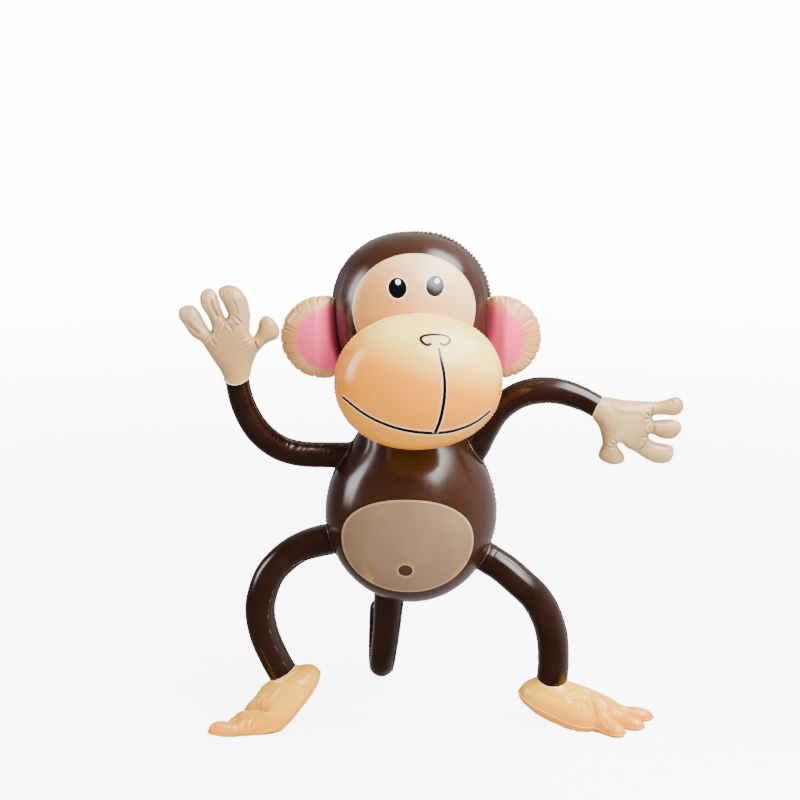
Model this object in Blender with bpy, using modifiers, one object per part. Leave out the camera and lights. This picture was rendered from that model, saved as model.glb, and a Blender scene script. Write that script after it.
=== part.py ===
"""A blow-up monkey of welded vinyl that stands on its two feet with one hand raised.

Each balloon of the toy is one solid. The belly and head are one balloon, and the
muzzle, ears, arms, hands, legs, feet and tail are welded onto it.
X runs to the monkey's left, Y out of its back and Z up. Sizes are in metres.
"""

import math

import bmesh
import bpy
from mathutils import Matrix, Vector

CLEARANCE = 0.0003  # space kept between two welded balloons

# Belly and head, one balloon turned about the upright axis and flattened front to back
BELLY_CENTRE_HEIGHT = 0.287
BELLY_HALF_WIDTH = 0.1105
BELLY_HALF_HEIGHT = 0.118
HEAD_CENTRE_HEIGHT = 0.5505
HEAD_HALF_WIDTH = 0.101
HEAD_HALF_HEIGHT = 0.1025
HEAD_ROUNDNESS = 2.2  # exponent of the head's outline, 2 is an ellipse
NECK_HALF_WIDTH = 0.066
NECK_FADE_POWER = 4  # how flat the neck's run is before it fades into belly and head
WAIST_BLEND = 5  # exponent that rounds the neck into the belly and the head
DEPTH_SHARE = 0.92
BODY_SIDES = 36
BODY_RINGS = 28

# Muzzle, a pillow on the front of the head, placed from the head's centre
MUZZLE_OFFSET = Vector((0.0085, -0.114, -0.0665))
MUZZLE_HALF_SIZE = Vector((0.1025, 0.073, 0.085))
MUZZLE_SIDES = 24
MUZZLE_RINGS = 14

# Ears, one-sided pillows whose flat inner side goes into the head
EAR_OUTER_RADIUS = 0.053
EAR_INNER_REACH = 0.026
EAR_HALF_THICKNESS = 0.027
EAR_PROUD = 0.011  # the ear's centre stands this far outside the head
EAR_DROP = 0.0295
EAR_FORWARD = 0.015
EAR_SIDES = 20
EAR_RINGS = 10

# Limb tubes
ARM_DIAMETER = 0.033
LEG_DIAMETER = 0.039
TAIL_ROOT_DIAMETER = 0.044
TAIL_BEND_DIAMETER = 0.035
TAIL_TIP_DIAMETER = 0.028
TUBE_RESOLUTION = 4  # sides of a limb are twice this and four more
TUBE_STEPS = 2  # points between two points of a limb's route

# Where each limb starts inside the belly, as shares of the belly's half sizes
RIGHT_SHOULDER = (-0.55, 0.0, 0.64)
LEFT_SHOULDER = (0.56, 0.0, 0.49)
RIGHT_HIP = (-0.63, 0.0, -0.28)
LEFT_HIP = (0.50, 0.0, -0.20)
TAIL_ROOT = (-0.25, 0.62, -0.60)

# Routes from those starts. The right arm's are shares of the reach. The left arm's heights are shares
# of the rise to the top of its arch, which passes just under the ear. The tail's are shares of its drop
ARM_REACH = 0.160
EAR_ARM_GAP = 0.0007
TAIL_DROP = 0.185
RIGHT_ARM_ROUTE = (
    (-0.15, 0.0, 0.0063), (-0.3063, 0.0, 0.0063), (-0.525, -0.0312, 0.025), (-0.7, -0.0625, 0.0938),
    (-0.85, -0.125, 0.2437), (-0.95, -0.1875, 0.45), (-0.9938, -0.2188, 0.6562), (-1.0, -0.2312, 0.7562))
LEFT_ARM_ROUTE = (
    (0.1125, 0.0, 0.1887), (0.1938, 0.0, 0.4434), (0.2812, -0.0125, 0.6792), (0.4, -0.025, 0.8585),
    (0.5625, -0.0625, 0.9811), (0.7687, -0.0938, 1.0), (0.9625, -0.125, 0.9057), (1.0938, -0.1562, 0.7925),
    (1.1875, -0.175, 0.7264))
TAIL_ROUTE = (
    (0.0, 0.0649, -0.1946), (-0.0108, 0.1568, -0.4054), (-0.0216, 0.2162, -0.627),
    (-0.0486, 0.2811, -0.8811), (-0.0649, 0.373, -1.0), (-0.0757, 0.5081, -0.9838),
    (-0.0811, 0.5892, -0.8378), (-0.0811, 0.627, -0.6378))
TAIL_BEND_POINT = 5  # the route's point at the bottom of the bend

# Routes of the legs: side and depth from the hip as shares of the spread, and height as a share of the
# hip's height over the ankle
LEG_SPREAD = 0.130
RIGHT_LEG_ROUTE = (
    (-0.2308, 0.0, 0.99), (-0.5154, -0.0385, 0.95), (-0.7, -0.0923, 0.89), (-0.8615, -0.1538, 0.79),
    (-0.9462, -0.1692, 0.66), (-0.9769, -0.1538, 0.53), (-0.9385, -0.0923, 0.36), (-0.8462, -0.0154, 0.19),
    (-0.7538, 0.0154, 0.07), (-0.6846, 0.0231, 0.0))
LEFT_LEG_ROUTE = (
    (0.1692, 0.0, 0.91), (0.3385, -0.0077, 0.83), (0.4923, -0.0615, 0.78), (0.6615, -0.1154, 0.7),
    (0.8231, -0.1385, 0.61), (0.9385, -0.1308, 0.49), (1.0038, -0.0923, 0.35), (1.0231, -0.0462, 0.19),
    (1.0154, -0.0154, 0.07), (1.0077, -0.0077, 0.0))
RIGHT_ANKLE_HEIGHT = 0.050
LEFT_ANKLE_HEIGHT = 0.043

# Hands: palms as (centre, half size) and digits as (root, tip, root radius, tip radius), all as shares
# of the hand's length and from the arm's last point but one, where the wrist is
HAND_LENGTH = 0.120
PAD_SIDES = 16
PAD_RINGS = 10
CUFF_FLATTENING = 0.30  # share of its depth that the cuff loses by the middle of the palm
DIGIT_RESOLUTION = 2
WRIST_ROOM = 0.001  # the cuff is this much wider than the arm, on every side
RIGHT_PALM = ((-0.0667, -0.025, 0.3667), (0.2833, 0.15, 0.2833))
RIGHT_PALM_TILT = math.radians(6)
RIGHT_FINGERS = (
    ((0.0167, -0.025, 0.575), (-0.0708, -0.0417, 0.8708), 0.1125, 0.1208),
    ((-0.2, -0.025, 0.5917), (-0.2833, -0.0417, 0.875), 0.0875, 0.0875),
    ((-0.3167, -0.025, 0.475), (-0.5, -0.025, 0.6833), 0.1, 0.1),
    ((0.1583, -0.0417, 0.375), (0.325, -0.075, 0.5667), 0.0875, 0.0875))
LEFT_PALM = ((0.325, -0.0333, -0.1583), (0.275, 0.1417, 0.25))
LEFT_PALM_TILT = math.radians(20)
LEFT_FINGERS = (
    ((0.45, -0.0417, -0.0083), (0.8083, -0.0417, 0.0458), 0.0792, 0.075),
    ((0.5, -0.0417, -0.175), (0.7917, -0.0417, -0.2042), 0.0792, 0.0792),
    ((0.4083, -0.0417, -0.35), (0.7167, -0.0417, -0.4625), 0.0833, 0.0792),
    ((0.15, -0.0417, -0.2333), (0.1542, -0.0417, -0.4583), 0.1042, 0.1208))
WRIST_RUN = 0.6  # share of the way to the palm's centre that the cuff's taper reaches
WRIST_WIDENING = 1.45

# Feet: shares of the foot's length from the point of the floor under the ankle. Toes are given as
# (root, tip), and their heights as what they stand above a toe that lies on the floor
FOOT_LENGTH = 0.120
FLOOR_SINK = 0.0012  # depth of foot that the floor presses flat
SOLE_HALF_SIZE = (0.4167, 0.2583, 0.1917)
BALL_HALF_SIZE = (0.2417, 0.2833, 0.15)
TOE_RADIUS = 0.0118
RIGHT_SOLE_CENTRE = (-0.0583, -0.1167, 0.325)
RIGHT_SOLE_PITCH = math.radians(31)
RIGHT_SOLE_TURN = math.radians(197)
RIGHT_BALL = (-0.3333, -0.1833)
RIGHT_TOES = (
    ((-0.3167, -0.3583, 0.0), (-0.7583, -0.4667, 0.0)),
    ((-0.3167, -0.2, 0.0), (-0.5833, -0.2583, 0.0)),
    ((-0.3, -0.0333, 0.0), (-0.4167, -0.0167, 0.0)),
    ((-0.1833, 0.0333, 0.0), (-0.2, 0.2, 0.0)))
LEFT_SOLE_CENTRE = (0.025, -0.0167, 0.275)
LEFT_SOLE_PITCH = math.radians(16)
LEFT_SOLE_TURN = math.radians(-15)
LEFT_BALL = (0.3833, -0.0917)
LEFT_TOES = (
    ((0.475, -0.225, 0.0), (0.6833, -0.45, 0.0)),
    ((0.6, -0.0833, 0.0), (0.9, -0.25, 0.0)),
    ((0.6167, 0.0833, 0.0), (1.0167, 0.025, 0.0)),
    ((0.1667, -0.175, 0.1083), (0.3333, -0.2833, 0.025)))

# Inflation valve on the back, pressed flush so that only its cap shows
VALVE_RADIUS = 0.011
VALVE_PROUD = 0.0025
VALVE_DEPTH = 0.010
VALVE_RISE = 0.010  # above the belly's centre
VALVE_SIDES = 20

CAPSULE_ANGLES = (30, 58, 80)  # degrees round the half circle that closes a tube's end
WELD_DISTANCE = 0.00001
SHARP_ANGLE = math.radians(45)


def clear_scene():
    for item in list(bpy.data.objects):
        bpy.data.objects.remove(item, do_unlink=True)


def new_collection(name):
    group = bpy.data.collections.new(name)
    bpy.context.scene.collection.children.link(group)
    return group


clear_scene()
PARTS = new_collection("inflatable_monkey")
CUTTERS = new_collection("cutters")


def vinyl(name, colour, roughness):
    """Glossy plasticised PVC sheet in one colour."""
    material = bpy.data.materials.new(name)
    material.use_nodes = True
    shader = material.node_tree.nodes["Principled BSDF"]
    shader.inputs["Base Color"].default_value = (*colour, 1.0)
    shader.inputs["Roughness"].default_value = roughness
    shader.inputs["Metallic"].default_value = 0.0
    return material


BROWN = vinyl("brown_vinyl", (0.055, 0.019, 0.010), 0.16)
PEACH = vinyl("peach_vinyl", (0.82, 0.50, 0.22), 0.20)
PINK = vinyl("ear_vinyl", (0.73, 0.32, 0.33), 0.22)
BEIGE = vinyl("beige_vinyl", (0.60, 0.47, 0.31), 0.24)
ORANGE = vinyl("foot_vinyl", (0.80, 0.42, 0.15), 0.22)


def add_object(name, mesh, group, material=None):
    item = bpy.data.objects.new(name, mesh)
    group.objects.link(item)
    if material:
        mesh.materials.clear()
        mesh.materials.append(material)
    return item


def settled_mesh(item):
    """The object's mesh after its modifiers, in world space, with its seams welded."""
    graph = bpy.context.evaluated_depsgraph_get()
    graph.update()
    mesh = bpy.data.meshes.new_from_object(item.evaluated_get(graph))
    mesh.transform(item.matrix_world)
    work = bmesh.new()
    work.from_mesh(mesh)
    bmesh.ops.remove_doubles(work, verts=work.verts, dist=WELD_DISTANCE)
    bmesh.ops.recalc_face_normals(work, faces=work.faces)
    work.to_mesh(mesh)
    work.free()
    return mesh


def settle(item):
    """Replace the object by its finished mesh, kept at the origin."""
    name, group = item.name, item.users_collection[0]
    mesh = settled_mesh(item)
    bpy.data.objects.remove(item, do_unlink=True)
    return add_object(name, mesh, group)


def boolean(item, other, operation):
    step = item.modifiers.new(f"{operation.lower()}_{other.name}", "BOOLEAN")
    step.operation = operation
    step.solver = "EXACT"
    step.object = other


def as_cutter(item):
    item.hide_render = True
    item.display_type = "WIRE"
    return item


def clearance_of(item):
    """A copy of a solid grown by the clearance, which cuts whatever is welded onto it."""
    copy = add_object(f"{item.name}_clearance", item.data.copy(), CUTTERS)
    grow = copy.modifiers.new("grow", "DISPLACE")
    grow.strength = CLEARANCE
    grow.mid_level = 0.0
    return as_cutter(copy)


def scaled(shares, length):
    return Vector(shares) * length


def smooth_route(points):
    """Catmull-Rom curve through the points, so a limb bends without corners."""
    ends = [points[0] * 2 - points[1]] + list(points) + [points[-1] * 2 - points[-2]]
    route = []
    for before, start, end, after in zip(ends, ends[1:], ends[2:], ends[3:]):
        for step in range(TUBE_STEPS):
            t = step / TUBE_STEPS
            route.append(0.5 * (2 * start + (end - before) * t
                                + (2 * before - 5 * start + 4 * end - after) * t ** 2
                                + (3 * start - before - 3 * end + after) * t ** 3))
    return route + [points[-1]]


def closed_ends(route, radii, round_start, round_end):
    """Add the half circles that close a balloon tube, at either or both of its ends."""
    angles = [math.radians(angle) for angle in CAPSULE_ANGLES]
    if round_end:
        outward = (route[-1] - route[-2]).normalized()
        tip, radius = route[-1], radii[-1]
        route = route + [tip + outward * radius * math.sin(angle) for angle in angles]
        radii = radii + [radius * math.cos(angle) for angle in angles]
    if round_start:
        route, radii = closed_ends(route[::-1], radii[::-1], False, True)
        route, radii = route[::-1], radii[::-1]
    return route, radii


def tube(name, route, radii, resolution, group):
    """A curve with a radius at each of its points and filled caps, made into a welded mesh."""
    curve = bpy.data.curves.new(name, "CURVE")
    curve.dimensions = "3D"
    curve.bevel_depth = max(radii)
    curve.bevel_resolution = resolution
    curve.use_fill_caps = True
    spline = curve.splines.new("POLY")
    spline.points.add(len(route) - 1)
    for point, place, radius in zip(spline.points, route, radii):
        point.co = (*place, 1.0)
        point.radius = radius / curve.bevel_depth
    item = bpy.data.objects.new(name, curve)
    group.objects.link(item)
    return settle(item)


def pad(name, centre, half_size, rotation, group, pole_axis="Y", sides=PAD_SIDES, rings=PAD_RINGS):
    """An inflated pad: a sphere stretched to three half sizes and turned."""
    mesh = bpy.data.meshes.new(name)
    work = bmesh.new()
    bmesh.ops.create_uvsphere(work, u_segments=sides, v_segments=rings, radius=1.0)
    poles = Matrix.Rotation(math.pi / 2, 4, "X") if pole_axis == "Y" else Matrix.Identity(4)
    stretch = Matrix.Diagonal((*half_size, 1.0))
    bmesh.ops.transform(work, verts=work.verts,
                        matrix=Matrix.Translation(centre) @ rotation @ stretch @ poles)
    work.to_mesh(mesh)
    work.free()
    return add_object(name, mesh, group)


def joined(name, pieces, material):
    """One solid of several overlapping balloons, such as a palm and its fingers."""
    first = pieces[0]
    for other in pieces[1:]:
        boolean(first, other, "UNION")
    mesh = settled_mesh(first)
    for piece in pieces:
        bpy.data.objects.remove(piece, do_unlink=True)
    return add_object(name, mesh, PARTS, material)


def body_half_width(height):
    """Half width of the belly and head balloon at a height: belly, neck and head blended."""
    belly_share = min(1.0, abs(height - BELLY_CENTRE_HEIGHT) / BELLY_HALF_HEIGHT)
    belly = BELLY_HALF_WIDTH * math.sqrt(1.0 - belly_share ** 2)
    head_share = min(1.0, abs(height - HEAD_CENTRE_HEIGHT) / HEAD_HALF_HEIGHT)
    head = HEAD_HALF_WIDTH * (1.0 - head_share ** HEAD_ROUNDNESS) ** (1.0 / HEAD_ROUNDNESS)
    middle = (BELLY_CENTRE_HEIGHT + HEAD_CENTRE_HEIGHT) / 2
    neck_reach = (HEAD_CENTRE_HEIGHT - BELLY_CENTRE_HEIGHT) / 2
    neck_share = min(1.0, abs(height - middle) / neck_reach)
    neck = NECK_HALF_WIDTH * (1.0 - neck_share ** NECK_FADE_POWER)
    blended = belly ** WAIST_BLEND + neck ** WAIST_BLEND + head ** WAIST_BLEND
    return blended ** (1.0 / WAIST_BLEND)


def make_body():
    """Profile from the crown to the seat, turned with a Screw modifier and flattened."""
    top = HEAD_CENTRE_HEIGHT + HEAD_HALF_HEIGHT
    bottom = BELLY_CENTRE_HEIGHT - BELLY_HALF_HEIGHT
    profile = []
    for step in range(BODY_RINGS + 1):
        height = (top + bottom) / 2 + (top - bottom) / 2 * math.cos(math.pi * step / BODY_RINGS)
        at_pole = step in (0, BODY_RINGS)
        profile.append((0.0 if at_pole else body_half_width(height), 0.0, height))
    mesh = bpy.data.meshes.new("body_and_head")
    mesh.from_pydata(profile, [(i, i + 1) for i in range(BODY_RINGS)], [])
    item = add_object("body_and_head", mesh, PARTS)
    turn = item.modifiers.new("turn", "SCREW")
    turn.steps = BODY_SIDES
    turn.render_steps = BODY_SIDES
    turn.use_merge_vertices = True
    turn.merge_threshold = WELD_DISTANCE
    item.scale = (1.0, DEPTH_SHARE, 1.0)
    bpy.context.view_layer.update()
    item = settle(item)
    item.data.materials.append(BROWN)
    return item


def belly_point(shares):
    """A point inside the belly, given in shares of its half sizes from its centre."""
    return Vector((shares[0] * BELLY_HALF_WIDTH, shares[1] * BELLY_HALF_WIDTH * DEPTH_SHARE,
                   BELLY_CENTRE_HEIGHT + shares[2] * BELLY_HALF_HEIGHT))


def make_muzzle(body_clearance):
    centre = Vector((0.0, 0.0, HEAD_CENTRE_HEIGHT)) + MUZZLE_OFFSET
    muzzle = pad("muzzle", centre, MUZZLE_HALF_SIZE, Matrix.Identity(4), PARTS,
                 sides=MUZZLE_SIDES, rings=MUZZLE_RINGS)
    muzzle.data.materials.append(PEACH)
    boolean(muzzle, body_clearance, "DIFFERENCE")


def make_ear(name, side, body_clearance):
    """A pad that is round on its outer half and squeezed on the half that meets the head."""
    ear = pad(name, Vector(), (1.0, EAR_HALF_THICKNESS, EAR_OUTER_RADIUS), Matrix.Identity(4), PARTS,
              sides=EAR_SIDES, rings=EAR_RINGS)
    centre = Vector((HEAD_HALF_WIDTH + EAR_PROUD, -EAR_FORWARD, HEAD_CENTRE_HEIGHT - EAR_DROP))
    for vertex in ear.data.vertices:
        reach = EAR_OUTER_RADIUS if vertex.co.x > 0 else EAR_INNER_REACH
        place = Vector((vertex.co.x * reach, vertex.co.y, vertex.co.z)) + centre
        vertex.co = (side * place.x, place.y, place.z)
    if side < 0:
        ear.data.flip_normals()
    ear.data.materials.append(PINK)
    boolean(ear, body_clearance, "DIFFERENCE")


def make_arm(name, start, route_shares, rise, body_clearance):
    """A tube from inside the belly to inside its hand. Gives the wrist's place as well."""
    route = [start]
    for side, depth, height in route_shares:
        route.append(start + Vector((side * ARM_REACH, depth * ARM_REACH, height * rise)))
    points = smooth_route(route)
    arm = tube(name, points, [ARM_DIAMETER / 2] * len(points), TUBE_RESOLUTION, PARTS)
    arm.data.materials.append(BROWN)
    boolean(arm, body_clearance, "DIFFERENCE")
    return arm, route[-2]


def make_digit(name, root, tip, root_radius, tip_radius):
    route, radii = closed_ends([root, tip], [root_radius, tip_radius], True, True)
    return tube(name, route, radii, DIGIT_RESOLUTION, CUTTERS)


def make_hand(name, wrist, palm, palm_tilt, fingers):
    """Palm, tapered cuff and four digits joined into one balloon, facing the front."""
    offset, half_size = (scaled(shares, HAND_LENGTH) for shares in palm)
    tilt = Matrix.Rotation(palm_tilt, 4, "Y")
    cuff_radius = ARM_DIAMETER / 2 + WRIST_ROOM
    route, radii = closed_ends([wrist, wrist + offset * WRIST_RUN],
                               [cuff_radius, cuff_radius * WRIST_WIDENING], False, True)
    pieces = [pad("palm", wrist + offset, half_size, tilt, CUTTERS)]
    cuff = tube("cuff", route, radii, TUBE_RESOLUTION, CUTTERS)
    for vertex in cuff.data.vertices:  # the cuff is round at the wrist and flattens towards the palm
        run = min(1.0, max(0.0, (vertex.co - wrist).dot(offset) / offset.length_squared))
        middle = wrist.y + offset.y * run
        vertex.co.y = middle + (vertex.co.y - middle) * (1.0 - CUFF_FLATTENING * run)
    pieces.append(cuff)
    for index, (root, tip, root_radius, tip_radius) in enumerate(fingers):
        pieces.append(make_digit(f"digit_{index}", wrist + scaled(root, HAND_LENGTH),
                                 wrist + scaled(tip, HAND_LENGTH),
                                 root_radius * HAND_LENGTH, tip_radius * HAND_LENGTH))
    return joined(name, pieces, BEIGE)


def make_leg(name, hip, route_shares, ankle_height):
    """A tube from inside the belly to inside its foot. Gives the ankle's place as well."""
    route = [hip]
    for side, depth, share in route_shares:
        height = ankle_height + share * (hip.z - ankle_height)
        route.append(Vector((hip.x + side * LEG_SPREAD, hip.y + depth * LEG_SPREAD, height)))
    points = smooth_route(route)
    leg = tube(name, points, [LEG_DIAMETER / 2] * len(points), TUBE_RESOLUTION, PARTS)
    leg.data.materials.append(BROWN)
    return leg, route[-1]


def make_foot(name, ankle, sole_centre, pitch, turn, ball, toes, floor):
    """Sole pad with its heel raised, ball and four toes joined, pressed flat by the floor."""
    ground = Vector((ankle.x, ankle.y, 0.0))
    tilt = Matrix.Rotation(turn, 4, "Z") @ Matrix.Rotation(pitch, 4, "Y")
    pieces = [pad("sole", ground + scaled(sole_centre, FOOT_LENGTH),
                  scaled(SOLE_HALF_SIZE, FOOT_LENGTH), tilt, CUTTERS, pole_axis="Z")]
    ball_half_size = scaled(BALL_HALF_SIZE, FOOT_LENGTH)
    ball_centre = ground + scaled((*ball, 0.0), FOOT_LENGTH)
    ball_centre.z = ball_half_size.z - FLOOR_SINK
    pieces.append(pad("ball", ball_centre, ball_half_size, Matrix.Rotation(turn, 4, "Z"), CUTTERS,
                      pole_axis="Z"))
    lying = ground + Vector((0.0, 0.0, TOE_RADIUS - FLOOR_SINK))
    for index, (root, tip) in enumerate(toes):
        pieces.append(make_digit(f"toe_{index}", lying + scaled(root, FOOT_LENGTH),
                                 lying + scaled(tip, FOOT_LENGTH), TOE_RADIUS, TOE_RADIUS))
    foot = joined(name, pieces, ORANGE)
    boolean(foot, floor, "DIFFERENCE")
    mesh = settled_mesh(foot)
    bpy.data.objects.remove(foot, do_unlink=True)
    return add_object(name, mesh, PARTS, ORANGE)


def make_floor():
    """A slab under the feet that presses them flat."""
    width = 8 * BELLY_HALF_WIDTH
    depth = BELLY_HALF_WIDTH
    mesh = bpy.data.meshes.new("floor")
    work = bmesh.new()
    bmesh.ops.create_cube(work, size=1.0)
    bmesh.ops.scale(work, verts=work.verts, vec=(width, width, depth))
    bmesh.ops.translate(work, verts=work.verts, vec=(0.0, 0.0, -depth / 2))
    work.to_mesh(mesh)
    work.free()
    return as_cutter(add_object("floor", mesh, CUTTERS))


def make_tail(body_clearance):
    """A J: down from the seat, round a bend near the floor and up behind to a rounded tip."""
    root = belly_point(TAIL_ROOT)
    route = [root] + [root + scaled(shares, TAIL_DROP) for shares in TAIL_ROUTE]
    points = smooth_route(route)
    bend = TAIL_BEND_POINT * TUBE_STEPS
    radii = []
    for index in range(len(points)):
        if index < bend:
            diameter = TAIL_ROOT_DIAMETER + (TAIL_BEND_DIAMETER - TAIL_ROOT_DIAMETER) * index / bend
        else:
            share = (index - bend) / (len(points) - 1 - bend)
            diameter = TAIL_BEND_DIAMETER + (TAIL_TIP_DIAMETER - TAIL_BEND_DIAMETER) * share
        radii.append(diameter / 2)
    points, radii = closed_ends(points, radii, False, True)
    tail = tube("tail", points, radii, TUBE_RESOLUTION, PARTS)
    tail.data.materials.append(BROWN)
    boolean(tail, body_clearance, "DIFFERENCE")


def make_valve(body_clearance):
    """The cap of the inflation valve, a short disc set into the middle of the back."""
    surface = body_half_width(BELLY_CENTRE_HEIGHT + VALVE_RISE) * DEPTH_SHARE
    mesh = bpy.data.meshes.new("valve")
    work = bmesh.new()
    bmesh.ops.create_cone(work, cap_ends=True, segments=VALVE_SIDES, radius1=VALVE_RADIUS,
                          radius2=VALVE_RADIUS, depth=VALVE_DEPTH)
    place = Matrix.Translation((0.0, surface + VALVE_PROUD - VALVE_DEPTH / 2,
                                BELLY_CENTRE_HEIGHT + VALVE_RISE))
    bmesh.ops.transform(work, verts=work.verts, matrix=place @ Matrix.Rotation(math.pi / 2, 4, "X"))
    work.to_mesh(mesh)
    work.free()
    valve = add_object("valve", mesh, PARTS, BROWN)
    boolean(valve, body_clearance, "DIFFERENCE")


def stand_at_origin():
    """Move everything so that the origin is at the middle of the box's underside."""
    graph = bpy.context.evaluated_depsgraph_get()
    graph.update()
    corners = []
    for item in PARTS.objects:
        mesh = item.evaluated_get(graph).to_mesh()
        corners.extend(item.matrix_world @ vertex.co for vertex in mesh.vertices)
    low = Vector([min(corner[axis] for corner in corners) for axis in range(3)])
    high = Vector([max(corner[axis] for corner in corners) for axis in range(3)])
    shift = Vector((-(low.x + high.x) / 2, -(low.y + high.y) / 2, -low.z))
    for item in list(PARTS.objects) + list(CUTTERS.objects):
        item.location += shift


def shade(item):
    item.data.shade_smooth()
    item.data.set_sharp_from_angle(angle=SHARP_ANGLE)


def build():
    body = make_body()
    body_clearance = clearance_of(body)
    make_muzzle(body_clearance)
    make_ear("right_ear", -1, body_clearance)
    make_ear("left_ear", 1, body_clearance)
    ear_bottom = HEAD_CENTRE_HEIGHT - EAR_DROP - EAR_OUTER_RADIUS
    arch_rise = ear_bottom - EAR_ARM_GAP - ARM_DIAMETER / 2 - belly_point(LEFT_SHOULDER).z
    arms = (("right", RIGHT_SHOULDER, RIGHT_ARM_ROUTE, ARM_REACH, RIGHT_PALM, RIGHT_PALM_TILT,
             RIGHT_FINGERS),
            ("left", LEFT_SHOULDER, LEFT_ARM_ROUTE, arch_rise, LEFT_PALM, LEFT_PALM_TILT, LEFT_FINGERS))
    for side, shoulder, route, rise, palm, palm_tilt, fingers in arms:
        arm, wrist = make_arm(f"{side}_arm", belly_point(shoulder), route, rise, body_clearance)
        hand = make_hand(f"{side}_hand", wrist, palm, palm_tilt, fingers)
        boolean(arm, clearance_of(hand), "DIFFERENCE")
    floor = make_floor()
    legs = (("right", RIGHT_HIP, RIGHT_LEG_ROUTE, RIGHT_ANKLE_HEIGHT, RIGHT_SOLE_CENTRE, RIGHT_SOLE_PITCH,
             RIGHT_SOLE_TURN, RIGHT_BALL, RIGHT_TOES),
            ("left", LEFT_HIP, LEFT_LEG_ROUTE, LEFT_ANKLE_HEIGHT, LEFT_SOLE_CENTRE, LEFT_SOLE_PITCH,
             LEFT_SOLE_TURN, LEFT_BALL, LEFT_TOES))
    for side, hip, route, ankle_height, sole_centre, pitch, turn, ball, toes in legs:
        leg, ankle = make_leg(f"{side}_leg", belly_point(hip), route, ankle_height)
        boolean(leg, body_clearance, "DIFFERENCE")
        foot = make_foot(f"{side}_foot", ankle, sole_centre, pitch, turn, ball, toes, floor)
        boolean(leg, clearance_of(foot), "DIFFERENCE")
    make_tail(body_clearance)
    make_valve(body_clearance)
    for item in PARTS.objects:
        shade(item)
    stand_at_origin()


build()
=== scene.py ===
import math
import bpy
import numpy as np
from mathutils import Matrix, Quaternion, Vector
from mathutils.geometry import delaunay_2d_cdt


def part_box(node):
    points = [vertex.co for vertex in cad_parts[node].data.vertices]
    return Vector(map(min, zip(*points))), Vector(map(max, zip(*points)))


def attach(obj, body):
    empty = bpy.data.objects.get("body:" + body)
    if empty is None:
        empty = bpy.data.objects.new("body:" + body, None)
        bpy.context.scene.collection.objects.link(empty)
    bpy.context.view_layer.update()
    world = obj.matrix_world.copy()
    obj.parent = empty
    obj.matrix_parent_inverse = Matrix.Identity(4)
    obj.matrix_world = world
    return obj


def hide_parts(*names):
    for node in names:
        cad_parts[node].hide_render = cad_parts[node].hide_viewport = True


# Looks of the blow-up monkey: every balloon is drawn again as welded, glossy PVC film
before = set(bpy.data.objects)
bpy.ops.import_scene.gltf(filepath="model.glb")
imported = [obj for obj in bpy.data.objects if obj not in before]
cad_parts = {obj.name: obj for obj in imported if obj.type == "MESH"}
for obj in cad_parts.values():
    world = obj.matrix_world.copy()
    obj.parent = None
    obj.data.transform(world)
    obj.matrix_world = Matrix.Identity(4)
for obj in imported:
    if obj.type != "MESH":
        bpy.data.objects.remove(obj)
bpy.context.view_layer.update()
mm = 0.001
pi = math.pi


def unit(vectors):
    # vectors divided by their own lengths
    return vectors / np.maximum(np.linalg.norm(vectors, axis=-1, keepdims=True), 1e-12)


def wobble(t, seed):
    # smooth irregular wave between about -1 and 1: five sines of unrelated pitch, added
    seeds = np.random.default_rng(seed)
    total = np.zeros_like(t)
    for octave in range(5):
        total = total + np.sin(t * (0.6 + 0.75 * octave + seeds.random()) + seeds.random() * 6.3) / (1 + 0.5 * octave)
    return total / 2.2


def bump(distance, width):
    # bell curve: one at zero distance, nearly nothing at twice the width
    return np.exp(-(distance / width) ** 2)


def smoothStep(value, low, high):
    # zero below low, one above high, and three squares less two cubes of the share in between
    share = np.clip((value - low) / (high - low), 0.0, 1.0)
    return share * share * (3 - 2 * share)


def fullTurn(count):
    # equal angles round a circle
    return np.linspace(0, 2 * pi, count, endpoint=False)


def joined(*parts):
    # coordinates brought to one shape and put side by side
    return np.stack(np.broadcast_arrays(*parts), axis=-1)


def inRows(numbers, width=2):
    # a flat row of millimetres as points in metres
    return np.reshape(np.array(numbers, float), (-1, width)) * mm


def runLength(path):
    # length along a path up to each of its points
    return np.r_[0, np.cumsum(np.linalg.norm(np.diff(path, axis=0), axis=1))]


def denseCurve(points, spacing, closed=False):
    # Catmull-Rom curve through the points, then points at equal steps along its length
    p = points
    p = np.vstack([p[-1:], p, p[:2]] if closed else [2 * p[:1] - p[1:2], p, 2 * p[-1:] - p[-2:-1]])
    t = np.linspace(0, 1, 24, endpoint=False)[None, :, None]
    a, b, c, d = (p[k:len(p) - 3 + k, None, :] for k in range(4))
    run = 0.5 * (2 * b + (c - a) * t + (2 * a - 5 * b + 4 * c - d) * t ** 2 + (3 * b - a - 3 * c + d) * t ** 3)
    run = np.vstack([run.reshape(-1, p.shape[1]), p[-2:-1]])
    length = runLength(run)
    at = np.linspace(0, length[-1], max(4, int(round(length[-1] / spacing))) + 1)
    even = joined(*(np.interp(at, length, column) for column in run.T))
    return even[:-1] if closed else even


def softened(points, rounds, closed=False):
    # each point moved halfway to the middle of its neighbours, again and again; open ends stay
    p = points.copy()
    for _ in range(rounds):
        middle = (np.roll(p, 1, axis=0) + np.roll(p, -1, axis=0)) / 2
        if not closed:
            middle[0], middle[-1] = p[0], p[-1]
        p = (p + middle) / 2
    return p


def outwardOf(loop, across):
    # square to a closed line and to the direction across it, on the side away from the line's middle
    heading = unit(np.roll(loop, -1, axis=0) - np.roll(loop, 1, axis=0))
    outward = unit(np.cross(heading, across))
    return outward * np.sign(np.sum(outward * (loop - loop.mean(axis=0))))


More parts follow.
